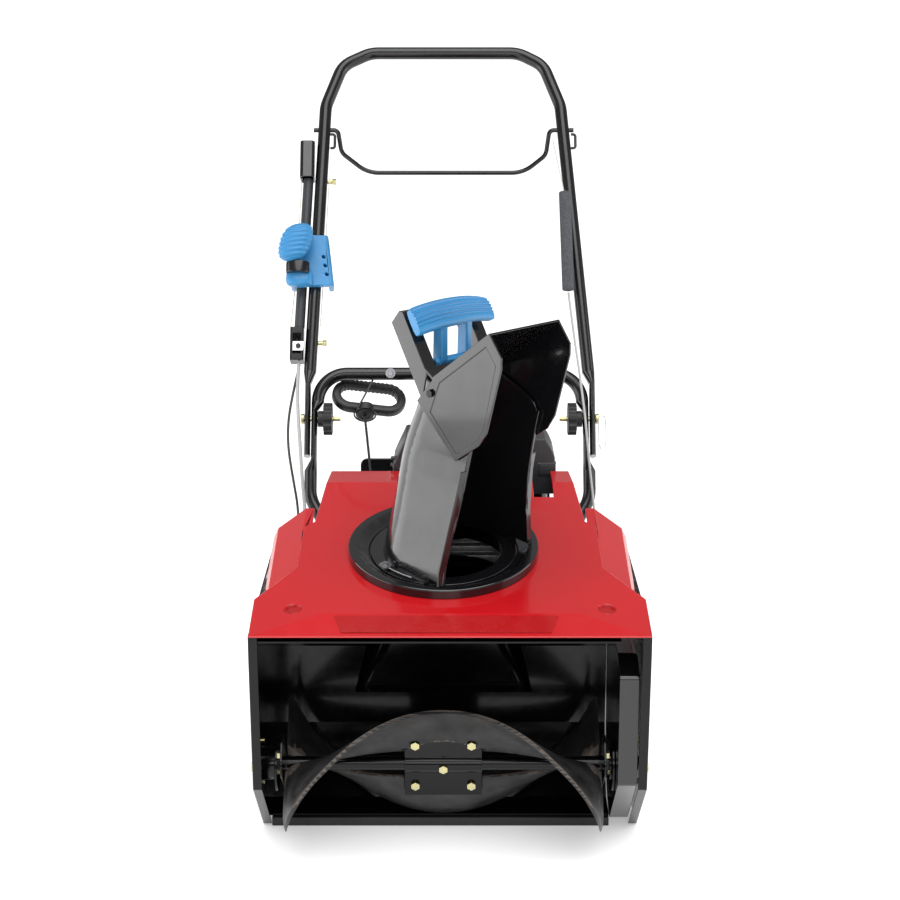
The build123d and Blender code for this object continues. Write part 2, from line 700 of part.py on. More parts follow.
def engine_block():
    block_solid = block(-90, 120, -228, 30, 92, 300)
    block_solid = fillet(block_solid.edges().filter_by(Axis.Z), 14)
    head = block(-60, 80, -210, -40, 300, 384)
    for i in range(5):
        z = 308 + i * 15
        head -= block(-80, 100, -230, -196, z, z + 6)
        head -= block(-80, -48, -230, 0, z, z + 6)
        head -= block(68, 100, -230, 0, z, z + 6)
    boss = rod_x(118, 150, CRANK_Y, CRANK_Z, 34)
    bore = rod_x(100, 260, CRANK_Y, CRANK_Z, 9.6)
    return block_solid + head + boss - bore


def blower_housing():
    drum = rod_x(-176, -91, -60, 250, 112)
    drum = fillet(drum.edges().filter_by(GeomType.CIRCLE).group_by(Axis.X)[0], 16)
    tower = block(-176, -91, -160, 40, 250, 398)
    tower = fillet(tower.edges().filter_by(Axis.X).group_by(Axis.Z)[-1], 20)
    whole = drum + tower
    for i in range(10):
        slot = Rot(i * 36, 0, 0) * (Pos(0, 0, 60) * Box(12, 8, 60))
        whole -= Pos(-176, -60, 250) * slot
    return whole - rod(ROPE_END, rope_start(), 5) - Pos(*ROPE_END) * Sphere(6)


def engine_cover():
    profile = [(-90, 402), (-90, 448), (-84, 462), (-70, 492), (150, 492), (160, 476), (166, 462), (166, 402)]
    face = make_face(Polyline(*[(x, -48, z) for x, z in profile], close=True))
    cover = extrude(face, 96, dir=(0, 1, 0))
    ridge = block(140, 167.5, -50, -30, 434, 452)
    tabs = block(-94, -80, -44, -36, 446, 452) + block(-94, -80, -44, -36, 456, 462)
    inner = block(-86, 162, -44, 44, 401, 440)
    return cover + ridge + tabs - inner


def fuel_tank():
    tank = block(-85, 160, 52, 128, 300, 430)
    tank = fillet(tank.edges(), 14)
    neck = Pos(30, 90, 428) * Cylinder(19, 18)
    return tank + neck


def fuel_cap():
    cap = Pos(30, 90, 449.5) * Cylinder(27, 22)
    cap -= Pos(30, 90, 436) * Cylinder(19.4, 10)
    for i in range(16):
        angle = i * math.pi / 8
        cap -= Pos(30 + 28 * math.cos(angle), 90 + 28 * math.sin(angle), 450) * Cylinder(2.5, 40)
    return cap


def muffler_guard():
    guard = block(123, 184, -226, -110, 120, 300)
    guard = fillet(guard.edges().filter_by(Axis.Z), 10)
    guard -= block(126, 181, -223, -113, 110, 297)
    for i in range(7):
        guard -= block(175, 190, -212, -124, 140 + i * 20, 150 + i * 20)
    return guard


PANEL_Y = 133.0


def control_panel():
    panel = block(-150, 168, PANEL_Y, PANEL_Y + 4, 296, 411)
    panel = fillet(panel.edges().filter_by(Axis.Y), 12)
    for x, radius in ((-100, 8.0), (-30, 6.2), (60, 13.2)):
        panel -= Pos(x, PANEL_Y, 372) * (Rot(90, 0, 0) * Cylinder(radius, 30))
    for x in (-120, 130):
        panel = panel + block(x - 10, x + 10, 126, PANEL_Y + 1, 262.5, 330)
        panel = panel + block(x - 10, x + 10, 60, 130, 262.5, 266)
    return panel - block(-200, 200, 0, 129, 266.5, 500)


def ignition_key():
    stem = Pos(-100, PANEL_Y + 2, 372) * (Rot(90, 0, 0) * Cylinder(7.7, 16))
    bow = Pos(-100, PANEL_Y + 20, 372) * Box(5, 22, 26)
    return fillet(bow.edges().filter_by(Axis.X), 6) + stem


def choke_knob():
    stem = Pos(-30, PANEL_Y + 6, 372) * (Rot(90, 0, 0) * Cylinder(6.0, 18))
    knob = Pos(-30, PANEL_Y + 24, 372) * (Rot(90, 0, 0) * Cylinder(17, 18))
    knob = fillet(knob.edges().filter_by(GeomType.CIRCLE), 3)
    return knob + stem


def primer_bulb():
    # the bulb stands off the panel by its own travel
    bulb = Pos(60, PANEL_Y + 8.4, 372) * Sphere(17)
    bulb &= block(0, 120, PANEL_Y + 8.4, PANEL_Y + 60, 300, 450)
    stem = Pos(60, PANEL_Y + 4.3, 372) * (Rot(90, 0, 0) * Cylinder(12.6, 9))
    return bulb + stem


# ---- handles ----
KNOB_X = 203.0                  # inner face of each knob
LOWER_TUBE_X = 239.0            # the lower legs where they are round
BOW_X = 228.5                   # the crossbar's ends


def lower_leg_path(side):
    return [on_handle(side * 203.0, -262), on_handle(side * 203.0, -205), on_handle(side * LOWER_TUBE_X, -140),
            on_handle(side * LOWER_TUBE_X, -92)]


def flat_part(x, s0, s1):
    start = handle_plane(x, s0)
    return extrude(start * Ellipse(5.5, 13.5), s1 - s0)


def swage(round_x, round_s, flat_x, flat_s, lean=0.0):
    # the tube is pressed flat where the two handle halves lie side by side
    round_end = Plane(Vector(*on_handle(round_x, round_s)), x_dir=(1, 0, -lean / ALONG[1]),
                      z_dir=(lean, ALONG[0], ALONG[1]))
    ends = [round_end * Circle(TUBE_R), handle_plane(flat_x, flat_s) * Ellipse(5.5, 13.5)]
    return loft(ends if round_s < flat_s else ends[::-1])


def lower_handle():
    whole = None
    for side in (-1, 1):
        x = side * LOWER_X
        leg = tube(lower_leg_path(side), [40, 60], TUBE_R)
        leg = leg + swage(side * LOWER_TUBE_X, -92, x, -72) + flat_part(x, -72, 14) + swage(side * BOW_X, 30, x, 14)
        whole = leg if whole is None else whole + leg
    bow = tube([on_handle(-BOW_X, 30), on_handle(-BOW_X, 81), on_handle(BOW_X, 81), on_handle(BOW_X, 30)],
               [50, 50], TUBE_R)
    whole = whole + bow
    whole -= rod_x(-300, 300, PIVOT_Y, PIVOT_Z, 4.4)
    for y, z in FOOT_BOLTS:
        whole -= rod_x(-250, 250, y, z, 4.1)
    return whole


def handle_bolts():
    bolts = []
    for side in (-1, 1):
        for y, z in FOOT_BOLTS:
            bolts.append(rod_x(*sorted((side * 182.0, side * 216.0)), y, z, 4))
            bolts.append(hex_head((side * 214.2, y, z), (side, 0, 0), 13, 5))
            bolts.append(hex_head((side * 186.8, y, z), (-side, 0, 0), 13, 6))
        bolts.append(rod_x(*sorted((side * (KNOB_X - 14), side * 252.2)), PIVOT_Y, PIVOT_Z, 4.1))
        bolts.append(rod_x(*sorted((side * 252.0, side * 257.0)), PIVOT_Y, PIVOT_Z, 9))
    merged = bolts[0]
    for piece in bolts[1:]:
        merged = merged + piece
    return group(merged)


def upper_handle():
    points = [on_handle(leg_x(84, -1), 84), on_handle(-222.5, 577), on_handle(-193, 656), on_handle(-143, 680),
              on_handle(123, 680), on_handle(168, 656), on_handle(198, 577), on_handle(leg_x(84, 1), 84)]
    whole = tube(points, [60, 45, 60, 60, 45, 60], TUBE_R)
    for side in (-1, 1):
        x = side * UPPER_X
        lean = leg_x(1, side) - leg_x(0, side)
        whole = whole + (swage(leg_x(84, side), 84, x, 62, lean) + flat_part(x, -66, 62))
    whole -= rod_x(-300, 300, PIVOT_Y, PIVOT_Z, 4.4)
    bail = on_handle(0, BAIL_S)
    whole -= rod_x(-260, 260, bail[1], bail[2], 4.1)
    return whole


def star_knob(side):
    # the knob turns on the inner end of the bolt through both handle legs
    knob = rod_x(*sorted((side * KNOB_X, side * (KNOB_X + 15))), PIVOT_Y, PIVOT_Z, 28)
    for i in range(8):
        angle = i * math.pi / 4
        knob -= rod_x(*sorted((side * (KNOB_X - 1), side * (KNOB_X + 16))), PIVOT_Y + 32 * math.cos(angle),
                      PIVOT_Z + 32 * math.sin(angle), 7)
    knob = knob + rod_x(*sorted((side * (KNOB_X + 15), side * 227.8)), PIVOT_Y, PIVOT_Z, 14)
    return knob - rod_x(-300, 300, PIVOT_Y, PIVOT_Z, 4.5)


RAIL_GAP = 23.0                 # the control rail runs beside the left leg
RAIL_R = 9.0
COVER_S = 438.0
BRACKET_S = 162.0
HOOD_SHIFT = 3.2                # the cable hood and bracket stand this far outboard of the rail


def rail_x(s):
    return leg_x(s, -1) - RAIL_GAP


def control_rail():
    low = BRACKET_S + CLEAR
    high = COVER_S - CLEAR
    return rod(on_handle(rail_x(low), low), on_handle(rail_x(high), high), RAIL_R)


def pulley_cover():
    base = handle_plane(rail_x(COVER_S + 30) - HOOD_SHIFT, COVER_S)
    hood = extrude(base * RectangleRounded(26, 36, 7), 68)
    hood -= extrude(base.offset(-1) * RectangleRounded(21.4, 31, 5), 66)
    hood -= extrude(base.offset(26) * (Pos(-11, 0) * Rectangle(14, 9)), 24)
    return hood


PULLEY_S = COVER_S + 40.0
PULLEY_R = 9.5


def cable_pulley():
    spot = on_handle(0, PULLEY_S)
    x = rail_x(PULLEY_S) - HOOD_SHIFT
    axis = Vector(0, -ALONG[1], ALONG[0])
    plane = Plane(Vector(x, spot[1], spot[2]), z_dir=axis)
    wheel = extrude(plane.offset(-4) * Circle(PULLEY_R), 8)
    groove = extrude(plane.offset(-2) * Circle(PULLEY_R + 3), 4) - extrude(plane.offset(-2) * Circle(PULLEY_R - 2), 4)
    return wheel - groove


def rail_bracket():
    base = handle_plane(rail_x(BRACKET_S) - HOOD_SHIFT, BRACKET_S - 60)
    box = extrude(base * RectangleRounded(24, 30, 3), 60)
    box -= extrude(base.offset(2) * RectangleRounded(19, 25, 2), 50)
    return box - extrude(base.offset(12) * (Pos(0, -12) * Rectangle(14, 12)), 36)


def rail_bolts():
    bolts = []
    for s in (BRACKET_S - 26, COVER_S - 4):
        x = leg_x(s, -1)
        spot = on_handle(0, s, 0)
        bolts.append(rod_x(x + TUBE_R + 0.1, x + TUBE_R + 9, spot[1], spot[2], 4))
        bolts.append(hex_head((x + TUBE_R + 9, spot[1], spot[2]), (1, 0, 0), 10, 6))
    merged = bolts[0]
    for piece in bolts[1:]:
        merged = merged + piece
    return group(merged)


SLIDE_LOW = 234.0
SLIDE_HIGH = 326.0


def rail_slot(grow, n0, n1, s0, s1):
    # the room that the rail and the leg beside it take, between two heights
    faces = []
    for s in (s0, s1):
        x0 = rail_x(s) - RAIL_R - grow
        x1 = leg_x(s, -1) + TUBE_R + grow
        corners = [on_handle(x0, s, n0), on_handle(x1, s, n0), on_handle(x1, s, n1), on_handle(x0, s, n1)]
        faces.append(make_face(Polyline(*corners, close=True)))
    return loft(faces, ruled=True)


def slider_body():
    body = rail_slot(9.0, -13, 25, SLIDE_LOW, SLIDE_HIGH)
    body = fillet(body.edges().group_by(SortBy.LENGTH)[-1], 5)
    body -= rail_slot(0.6, -40, TUBE_R + 0.6, SLIDE_LOW - 10, SLIDE_HIGH + 10)
    middle = (SLIDE_LOW + SLIDE_HIGH) / 2
    post = rod(on_handle(-267, middle + 10, 20), on_handle(-269, middle + 12, 40), 11)
    for i in range(3):
        spot = on_handle(-226, SLIDE_LOW + 20 + 16 * i, 12)
        body -= rod(spot, on_handle(-226, SLIDE_LOW + 20 + 16 * i, 40), 3)
    return body + post


def slider_grip():
    shape = Sphere(34)
    shape = scale(shape, (0.80, 0.40, 1.0))
    for i in range(6):
        shape -= Pos(0, -14, -25 + i * 10) * Box(80, 8, 3)
    tilted = Rot(HANDLE_ANGLE - 90, 0, 0) * shape
    grip = Pos(*on_handle(-268, 302, 53.5)) * tilted
    middle = (SLIDE_LOW + SLIDE_HIGH) / 2
    return grip - rod(on_handle(-267, middle + 10, 20), on_handle(-269, middle + 12, 40.2), 11.2)


def bail():
    pivot = on_handle(0, BAIL_S)
    y, z = pivot[1], pivot[2]
    left = leg_x(BAIL_S, -1)
    right = leg_x(BAIL_S, 1)
    points = [(left - 19, y, z), (left + 24, y, z), (left + 30, y - 2, z - 40), (left + 76, y, z - 76),
              (right - 70, y, z - 76), (right - 30, y - 2, z - 44), (right - 24, y, z), (right + 19, y, z)]
    return tube(points, [9, 22, 60, 60, 22, 9], 4.0)


def bail_stops():
    stops = []
    for side in (-1, 1):
        x = leg_x(498 if side > 0 else 524, side) + TUBE_R + 0.1
        points = [on_handle(x, 498), on_handle(x + 8, 498), on_handle(x + 8, 524), on_handle(x, 524)]
        stops.append(tube(points, [4, 4], 2.5))
    return group(*stops)


SLEEVE_LOW = (206.0, 226.0)
SLEEVE_HIGH = (202.2, 406.0)


def cable_sleeve():
    low = on_handle(*SLEEVE_LOW, 23)
    high = on_handle(*SLEEVE_HIGH, 23)
    whole = rod(low, high, 10.5)
    return whole - rod(on_handle(SLEEVE_LOW[0] + 0.02, 216, 23), on_handle(SLEEVE_HIGH[0], 416, 23), 2.2)


def bail_cable():
    # from the sleeve down beside the right leg to the idler arm
    points = [on_handle(206.2, 221, 23), on_handle(214, 150, 20), on_handle(224, 70, 26), on_handle(232, -10, 30),
              on_handle(238, -90, 26), on_handle(244, -150, 20)]
    points += [(252, 130, 250), (256, 60, 232)]
    return tube(points, cord_radii(points), 2.0)


def cord_radii(points):
    radii = []
    for a, b, c in zip(points, points[1:], points[2:]):
        first = Vector(*b) - Vector(*a)
        second = Vector(*c) - Vector(*b)
        turn = math.radians(first.get_angle(second))
        radii.append(0.45 * min(first.length, second.length) / math.tan(turn / 2))
    return radii


def chute_cables():
    grey = [on_handle(-262.5, 98, 6), on_handle(-264, 50, 12), on_handle(-261, 0, 20), on_handle(-256, -55, 26),
            on_handle(-252, -110, 24), on_handle(-247, -160, 12), (-246, 120, 262), (-246, 60, 236)]
    black = [on_handle(-262, 98, -4), on_handle(-272, 45, 4), on_handle(-278, -10, 22), on_handle(-276, -60, 34),
             on_handle(-266, -115, 34), on_handle(-257, -165, 20), (-256, 110, 256), (-256, 55, 226)]
    return group(tube(grey, cord_radii(grey), 3.0), tube(black, cord_radii(black), 2.2))


# ---- recoil starter ----
STARTER = (-147.0, 262.0, 461.3)        # where the rope enters the grip
PULL = (0.0, 0.8, 0.6)                  # the grip is pulled up and back under the crossbar
STARTER_ROLL = 10.0
ROPE_END = (-124.0, 5.0, 386.0)
BOSS_R = 16.0


def starter_plane():
    # x across the grip, y along the pull
    roll = math.radians(STARTER_ROLL)
    across = (math.cos(roll), math.sin(roll) * PULL[2], -math.sin(roll) * PULL[1])
    normal = Vector(*across).cross(Vector(*PULL))
    return Plane(Vector(*STARTER), x_dir=across, z_dir=normal)


def pull_point(distance):
    return tuple(STARTER[i] + distance * PULL[i] for i in range(3))


def starter_handle():
    plane = starter_plane()
    middle = plane * Pos(6, 30)
    loop = extrude(middle * SlotOverall(130, 66), 9, both=True)
    loop -= extrude(middle * SlotOverall(100, 34), 12, both=True)
    loop = loop + rod(pull_point(-11), pull_point(9), BOSS_R)
    return loop - rod(pull_point(-13), pull_point(4), 3.2)


def rope_start():
    return pull_point(-12)


def starter_rope():
    return rod(rope_start(), ROPE_END, 2.5)


GUIDE_R = 18.6


def rope_guide():
    # a wire eye round the grip's boss, hung from the crossbar
    plane = Plane(Vector(*pull_point(-7.5)), x_dir=(1, 0, 0), z_dir=PULL)
    start = plane.from_local_coords(Vector(-GUIDE_R, 0, 0))
    eye = sweep(Plane(start, z_dir=plane.y_dir) * Circle(1.6), (plane * Circle(GUIDE_R)).edge())
    bar = on_handle(-134, 81)
    top = plane.from_local_coords(Vector(-GUIDE_R * 0.71, -GUIDE_R * 0.71, 0))
    return eye + rod((top.X, top.Y, top.Z), (bar[0], bar[1] - 4, bar[2] - 10.5), 1.6)


PARTS = {
    "rotor_housing": rotor_housing,
    "discharge_duct": discharge_duct,
    "side_plate_left": lambda: side_plate(-1),
    "side_plate_right": lambda: side_plate(1),
    "scraper": scraper,
    "belt_case": belt_case,
    "drive_belt": drive_belt,
    "rotor_bearings": rotor_bearings,
    "housing_bolts": housing_bolts,
    "rotor_paddles": rotor_paddles,
    "rotor_brackets": rotor_brackets,
    "rotor_bolts": rotor_bolts,
    "rotor_shaft": rotor_shaft,
    "rotor_pulley": rotor_pulley,
    "engine_pulley": engine_pulley,
    "idler_arm": idler_arm,
    "idler_pulley": idler_pulley,
    "shroud": shroud,
    "screw_plugs": screw_plugs,
    "side_fenders": lambda: group(side_fender(-1), side_fender(1)),
    "chute_collar": chute_collar,
    "chute": chute,
    "chute_clip": chute_clip,
    "deflector": deflector,
    "deflector_pins": deflector_pins,
    "trigger": trigger,
    "engine_deck": engine_deck,
    "axle": lambda: group(axle(), *wheel_caps()),
    "wheel_left": lambda: wheel(-1),
    "wheel_right": lambda: wheel(1),
    "engine_block": engine_block,
    "blower_housing": blower_housing,
    "engine_cover": engine_cover,
    "fuel_tank": fuel_tank,
    "fuel_cap": fuel_cap,
    "muffler_guard": muffler_guard,
    "control_panel": control_panel,
    "ignition_key": ignition_key,
    "choke_knob": choke_knob,
    "primer_bulb": primer_bulb,
    "lower_handle": lower_handle,
    "handle_bolts": handle_bolts,
    "rope_guide": rope_guide,
    "upper_handle": upper_handle,
    "knob_left": lambda: star_knob(-1),
    "knob_right": lambda: star_knob(1),
    "control_rail": control_rail,
    "pulley_cover": pulley_cover,
    "cable_pulley": cable_pulley,
    "rail_bracket": rail_bracket,
    "rail_bolts": rail_bolts,
    "slider_body": slider_body,
    "slider_grip": slider_grip,
    "bail": bail,
    "bail_stops": bail_stops,
    "cable_sleeve": cable_sleeve,
    "bail_cable": bail_cable,
    "chute_cables": chute_cables,
    "starter_handle": starter_handle,
    "starter_rope": starter_rope,
}

for name, make in PARTS.items():
    save(make(), name)
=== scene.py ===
import json
import math
import bpy
import bmesh
from mathutils import Matrix, Vector
from mathutils.bvhtree import BVHTree

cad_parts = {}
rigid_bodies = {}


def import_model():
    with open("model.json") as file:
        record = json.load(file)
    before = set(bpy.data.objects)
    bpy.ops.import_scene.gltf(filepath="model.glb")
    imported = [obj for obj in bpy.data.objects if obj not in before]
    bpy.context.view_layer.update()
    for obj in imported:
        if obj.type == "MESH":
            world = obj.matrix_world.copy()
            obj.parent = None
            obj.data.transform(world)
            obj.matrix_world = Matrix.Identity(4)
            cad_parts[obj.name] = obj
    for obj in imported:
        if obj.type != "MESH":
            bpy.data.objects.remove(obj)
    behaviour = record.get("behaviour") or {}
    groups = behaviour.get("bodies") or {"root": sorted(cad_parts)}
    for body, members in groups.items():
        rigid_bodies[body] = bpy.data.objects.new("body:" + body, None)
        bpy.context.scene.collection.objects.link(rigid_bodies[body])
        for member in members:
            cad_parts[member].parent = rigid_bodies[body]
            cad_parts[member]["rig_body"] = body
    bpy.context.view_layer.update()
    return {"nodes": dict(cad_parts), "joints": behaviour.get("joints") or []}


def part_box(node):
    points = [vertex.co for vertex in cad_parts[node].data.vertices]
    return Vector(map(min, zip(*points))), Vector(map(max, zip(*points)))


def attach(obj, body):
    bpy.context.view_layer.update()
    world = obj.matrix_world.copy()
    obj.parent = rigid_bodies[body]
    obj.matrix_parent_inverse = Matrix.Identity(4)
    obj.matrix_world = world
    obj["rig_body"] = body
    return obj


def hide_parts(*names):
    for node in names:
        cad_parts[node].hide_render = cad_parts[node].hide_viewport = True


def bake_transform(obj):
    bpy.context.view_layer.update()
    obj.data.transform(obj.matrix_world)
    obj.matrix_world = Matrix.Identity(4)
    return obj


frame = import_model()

# ---- the frame's own places ----
JOINTS = {joint["name"]: joint for joint in frame["joints"]}
PIVOT = Vector(JOINTS["handle_fold"]["pos_m"])
RING = Vector(JOINTS["chute_turn"]["pos_m"])
HANDLE_ANGLE = math.radians(62)
CHUTE_TURN = math.radians(45)
ALONG = Vector((0, math.cos(HANDLE_ANGLE), math.sin(HANDLE_ANGLE)))
FACING = Vector((0, -math.sin(HANDLE_ANGLE), math.cos(HANDLE_ANGLE)))


def on_handle(x, s, n=0.0):
    # s runs up the handle from the knobs, n stands off its front
    return Vector((x, 0, 0)) + Vector((0, PIVOT.y, PIVOT.z)) + ALONG * s + FACING * n


def on_chute(x, y, z):
    # the chute's own turned frame
    turn = Matrix.Rotation(CHUTE_TURN, 3, "Z")
    return turn @ Vector((x, y, 0)) + Vector((RING.x, RING.y, z))


LEG_FOOT = (-0.031, 0.664)      # the deflector's handle, in the chute's frame
LEG_RUN = (0.51, 0.86)


def on_leg(x, p, n):
    # x across the deflector's handle, p up its length, n off its front
    y = LEG_FOOT[0] + p * LEG_RUN[0] - n * LEG_RUN[1]
    z = LEG_FOOT[1] + p * LEG_RUN[1] + n * LEG_RUN[0]
    return on_chute(x, y, z)


# ---- materials ----
def new_material(name, color, rough, metallic=0.0, coat=0.0, specular=0.5):
    material = bpy.data.materials.new(name)
    material.use_nodes = True
    shader = material.node_tree.nodes["Principled BSDF"]
    shader.inputs["Base Color"].default_value = (*color, 1)
    shader.inputs["Roughness"].default_value = rough
    shader.inputs["Metallic"].default_value = metallic
    shader.inputs["Coat Weight"].default_value = coat
    shader.inputs["Coat Roughness"].default_value = 0.06
    shader.inputs["Specular IOR Level"].default_value = specular
    return material


def noise(material, scale, detail=3.0):
    tree = material.node_tree
    place = tree.nodes.new("ShaderNodeTexCoord")
    texture = tree.nodes.new("ShaderNodeTexNoise")
    texture.inputs["Scale"].default_value = scale
    texture.inputs["Detail"].default_value = detail
    tree.links.new(place.outputs["Object"], texture.inputs["Vector"])
    return texture.outputs["Fac"]


def vary_color(material, factor, low, high):
    tree = material.node_tree
    ramp = tree.nodes.new("ShaderNodeValToRGB")
    ramp.color_ramp.elements[0].position = 0.3
    ramp.color_ramp.elements[1].position = 0.7
    ramp.color_ramp.elements[0].color = (*low, 1)
    ramp.color_ramp.elements[1].color = (*high, 1)
    tree.links.new(factor, ramp.inputs["Fac"])
    tree.links.new(ramp.outputs["Color"], tree.nodes["Principled BSDF"].inputs["Base Color"])


def vary_rough(material, factor, low, high):
    tree = material.node_tree
    spread = tree.nodes.new("ShaderNodeMapRange")
    spread.inputs["From Min"].default_value = 0.3
    spread.inputs["From Max"].default_value = 0.7
    spread.inputs["To Min"].default_value = low
    spread.inputs["To Max"].default_value = high
    tree.links.new(factor, spread.inputs["Value"])
    tree.links.new(spread.outputs["Result"], tree.nodes["Principled BSDF"].inputs["Roughness"])


def add_bump(material, height, strength, distance):
    tree = material.node_tree
    bump = tree.nodes.new("ShaderNodeBump")
    bump.inputs["Strength"].default_value = strength
    bump.inputs["Distance"].default_value = distance
    tree.links.new(height, bump.inputs["Height"])
    tree.links.new(bump.outputs["Normal"], tree.nodes["Principled BSDF"].inputs["Normal"])


def shade(color, share):
    return tuple(min(1.0, channel * share) for channel in color)


def moulded(name, color, rough, grain, depth, coat=0.0, spread=0.08):
    # injection moulded plastic: fine spark texture, faint flow clouds
    material = new_material(name, color, rough, coat=coat)
    vary_color(material, noise(material, 9, 4), shade(color, 1 - spread), shade(color, 1 + spread))
    vary_rough(material, noise(material, 35, 3), rough - 0.05, rough + 0.06)
    add_bump(material, noise(material, grain, 2), 0.35, depth)
    return material


def coated(name, color, rough, coat=0.5, specular=0.5):
    # powder coat: orange peel about 1.5 mm across
    material = new_material(name, color, rough, coat=coat, specular=specular)
    vary_color(material, noise(material, 14, 3), shade(color, 0.85), shade(color, 1.2))
    vary_rough(material, noise(material, 60, 3), rough - 0.03, rough + 0.04)
    add_bump(material, noise(material, 650, 2), 0.08, 0.00006)
    return material


def metal(name, color, rough, grain=900, spread=0.2):
    material = new_material(name, color, rough, metallic=1.0)
    vary_color(material, noise(material, 160, 4), shade(color, 1 - spread), shade(color, 1 + spread))
    vary_rough(material, noise(material, 90, 4), rough - 0.08, rough + 0.12)
    add_bump(material, noise(material, grain, 3), 0.25, 0.00008)
    return material


def woven(name, color, rough, pitch):
    # braided or laid fibres
    material = new_material(name, color, rough, specular=0.2)
    tree = material.node_tree
    place = tree.nodes.new("ShaderNodeTexCoord")
    wave = tree.nodes.new("ShaderNodeTexWave")
    wave.bands_direction = "DIAGONAL"
    wave.inputs["Scale"].default_value = 1 / pitch
    wave.inputs["Distortion"].default_value = 1.5
    tree.links.new(place.outputs["Object"], wave.inputs["Vector"])
    vary_color(material, wave.outputs["Fac"], shade(color, 0.6), shade(color, 1.5))
    add_bump(material, wave.outputs["Fac"], 0.6, 0.0004)
    return material


RED = (0.54, 0.008, 0.012)
BLUE = (0.036, 0.25, 0.53)


def paddle_rubber():
    # dark rubber, uneven in tone and a little worn
    material = new_material("paddle_rubber", (0.018, 0.017, 0.017), 0.5, specular=0.4)
    vary_color(material, noise(material, 30, 5), (0.010, 0.0095, 0.010), (0.032, 0.030, 0.030))
    vary_rough(material, noise(material, 45, 4), 0.34, 0.6)
    add_bump(material, noise(material, 300, 4), 0.5, 0.0002)
    return material


def paddle_edge():
    # the cut edge shows brown fabric plies between the rubber layers
    material = new_material("paddle_edge_plies", (0.10, 0.075, 0.062), 0.75, specular=0.2)
    fibres = noise(material, 620, 4)
    vary_color(material, fibres, (0.055, 0.047, 0.042), (0.17, 0.145, 0.125))
    add_bump(material, fibres, 0.6, 0.0003)
    return material


def foam():
    material = new_material("sleeve_foam", (0.075, 0.078, 0.085), 0.8, specular=0.25)
    vary_color(material, noise(material, 300, 4), (0.055, 0.057, 0.063), (0.10, 0.104, 0.112))
    add_bump(material, noise(material, 1400, 3), 0.6, 0.0003)
    return material


def zinc():
    # yellow chromate with faint rainbow patches
    material = metal("yellow_zinc", (0.62, 0.53, 0.27), 0.3, spread=0.1)
    vary_color(material, noise(material, 220, 2), (0.66, 0.56, 0.24), (0.50, 0.52, 0.36))
    return material


M = {
    "red": moulded("red_cover_plastic", RED, 0.2, 260, 0.000012, coat=0.45, spread=0.03),
    "red_dark": moulded("red_band", (0.40, 0.004, 0.006), 0.26, 260, 0.000012, coat=0.3, spread=0.03),
    "tube": coated("black_powder_coat", (0.005, 0.005, 0.006), 0.22, coat=0.3, specular=0.4),
    "sheet": coated("black_painted_sheet", (0.0025, 0.0025, 0.003), 0.15, coat=0.1, specular=0.24),
    "black": moulded("black_moulding", (0.006, 0.006, 0.007), 0.15, 900, 0.00001, coat=0.45),
    "black_matte": moulded("black_grained", (0.012, 0.012, 0.013), 0.48, 1100, 0.00012),
    "grey": moulded("grey_moulding", (0.032, 0.034, 0.038), 0.42, 1000, 0.00012),
    "blue": moulded("blue_moulding", BLUE, 0.36, 800, 0.00008, coat=0.1, spread=0.06),
    "rubber": paddle_rubber(),
    "plies": paddle_edge(),
    "tyre": moulded("tyre_rubber", (0.014, 0.014, 0.014), 0.62, 900, 0.0003),
    "zinc": zinc(),
    "steel": metal("bare_steel", (0.42, 0.42, 0.44), 0.34),
    "cast": metal("cast_alloy", (0.42, 0.42, 0.43), 0.5, grain=500, spread=0.15),
    "foam": foam(),
    "wire": moulded("pale_wire", (0.55, 0.52, 0.46), 0.4, 900, 0.00005),
    "sheath": moulded("grey_sheath", (0.42, 0.42, 0.41), 0.42, 900, 0.0001),
    "dark_sheath": moulded("black_sheath", (0.02, 0.02, 0.02), 0.4, 900, 0.0001),
    "rope": woven("starter_rope_braid", (0.03, 0.03, 0.032), 0.7, 0.004),
    "belt": woven("belt_rubber", (0.02, 0.02, 0.02), 0.65, 0.003),
    "latch": metal("white_latch", (0.75, 0.75, 0.74), 0.35, spread=0.05),
}

NODE_LOOK = {
    "rotor_housing": "sheet", "discharge_duct": "sheet", "side_plate_left": "sheet",
    "side_plate_right": "sheet", "scraper": "black_matte", "belt_case": "black", "drive_belt": "belt",
    "rotor_bearings": "sheet", "housing_bolts": "zinc", "rotor_brackets": "sheet", "rotor_bolts": "zinc",
    "rotor_shaft": "sheet", "rotor_pulley": "steel", "engine_pulley": "steel", "idler_arm": "steel",
    "idler_pulley": "steel", "shroud": "red", "screw_plugs": "red_dark", "side_fenders": "red",
    "chute_collar": "black", "chute": "black", "chute_clip": "steel", "deflector": "black",
    "deflector_pins": "sheet", "engine_deck": "sheet", "axle": "steel", "engine_block": "cast",
    "blower_housing": "grey", "engine_cover": "grey", "fuel_tank": "black", "fuel_cap": "black_matte",
    "muffler_guard": "sheet", "control_panel": "black", "ignition_key": "red",
    "choke_knob": "black_matte", "primer_bulb": "rubber", "lower_handle": "tube", "handle_bolts": "zinc",
    "rope_guide": "tube", "upper_handle": "tube", "knob_left": "black_matte", "knob_right": "black_matte",
    "control_rail": "grey", "pulley_cover": "black", "cable_pulley": "grey", "rail_bracket": "sheet",
    "rail_bolts": "zinc", "slider_body": "blue", "bail": "tube", "bail_stops": "tube",
    "cable_sleeve": "foam",
}
for node, look in NODE_LOOK.items():
    mesh = frame["nodes"][node].data
    mesh.materials.clear()
    mesh.materials.append(M[look])


# ---- mesh helpers ----
def body_of(node):
    return frame["nodes"][node]["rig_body"]


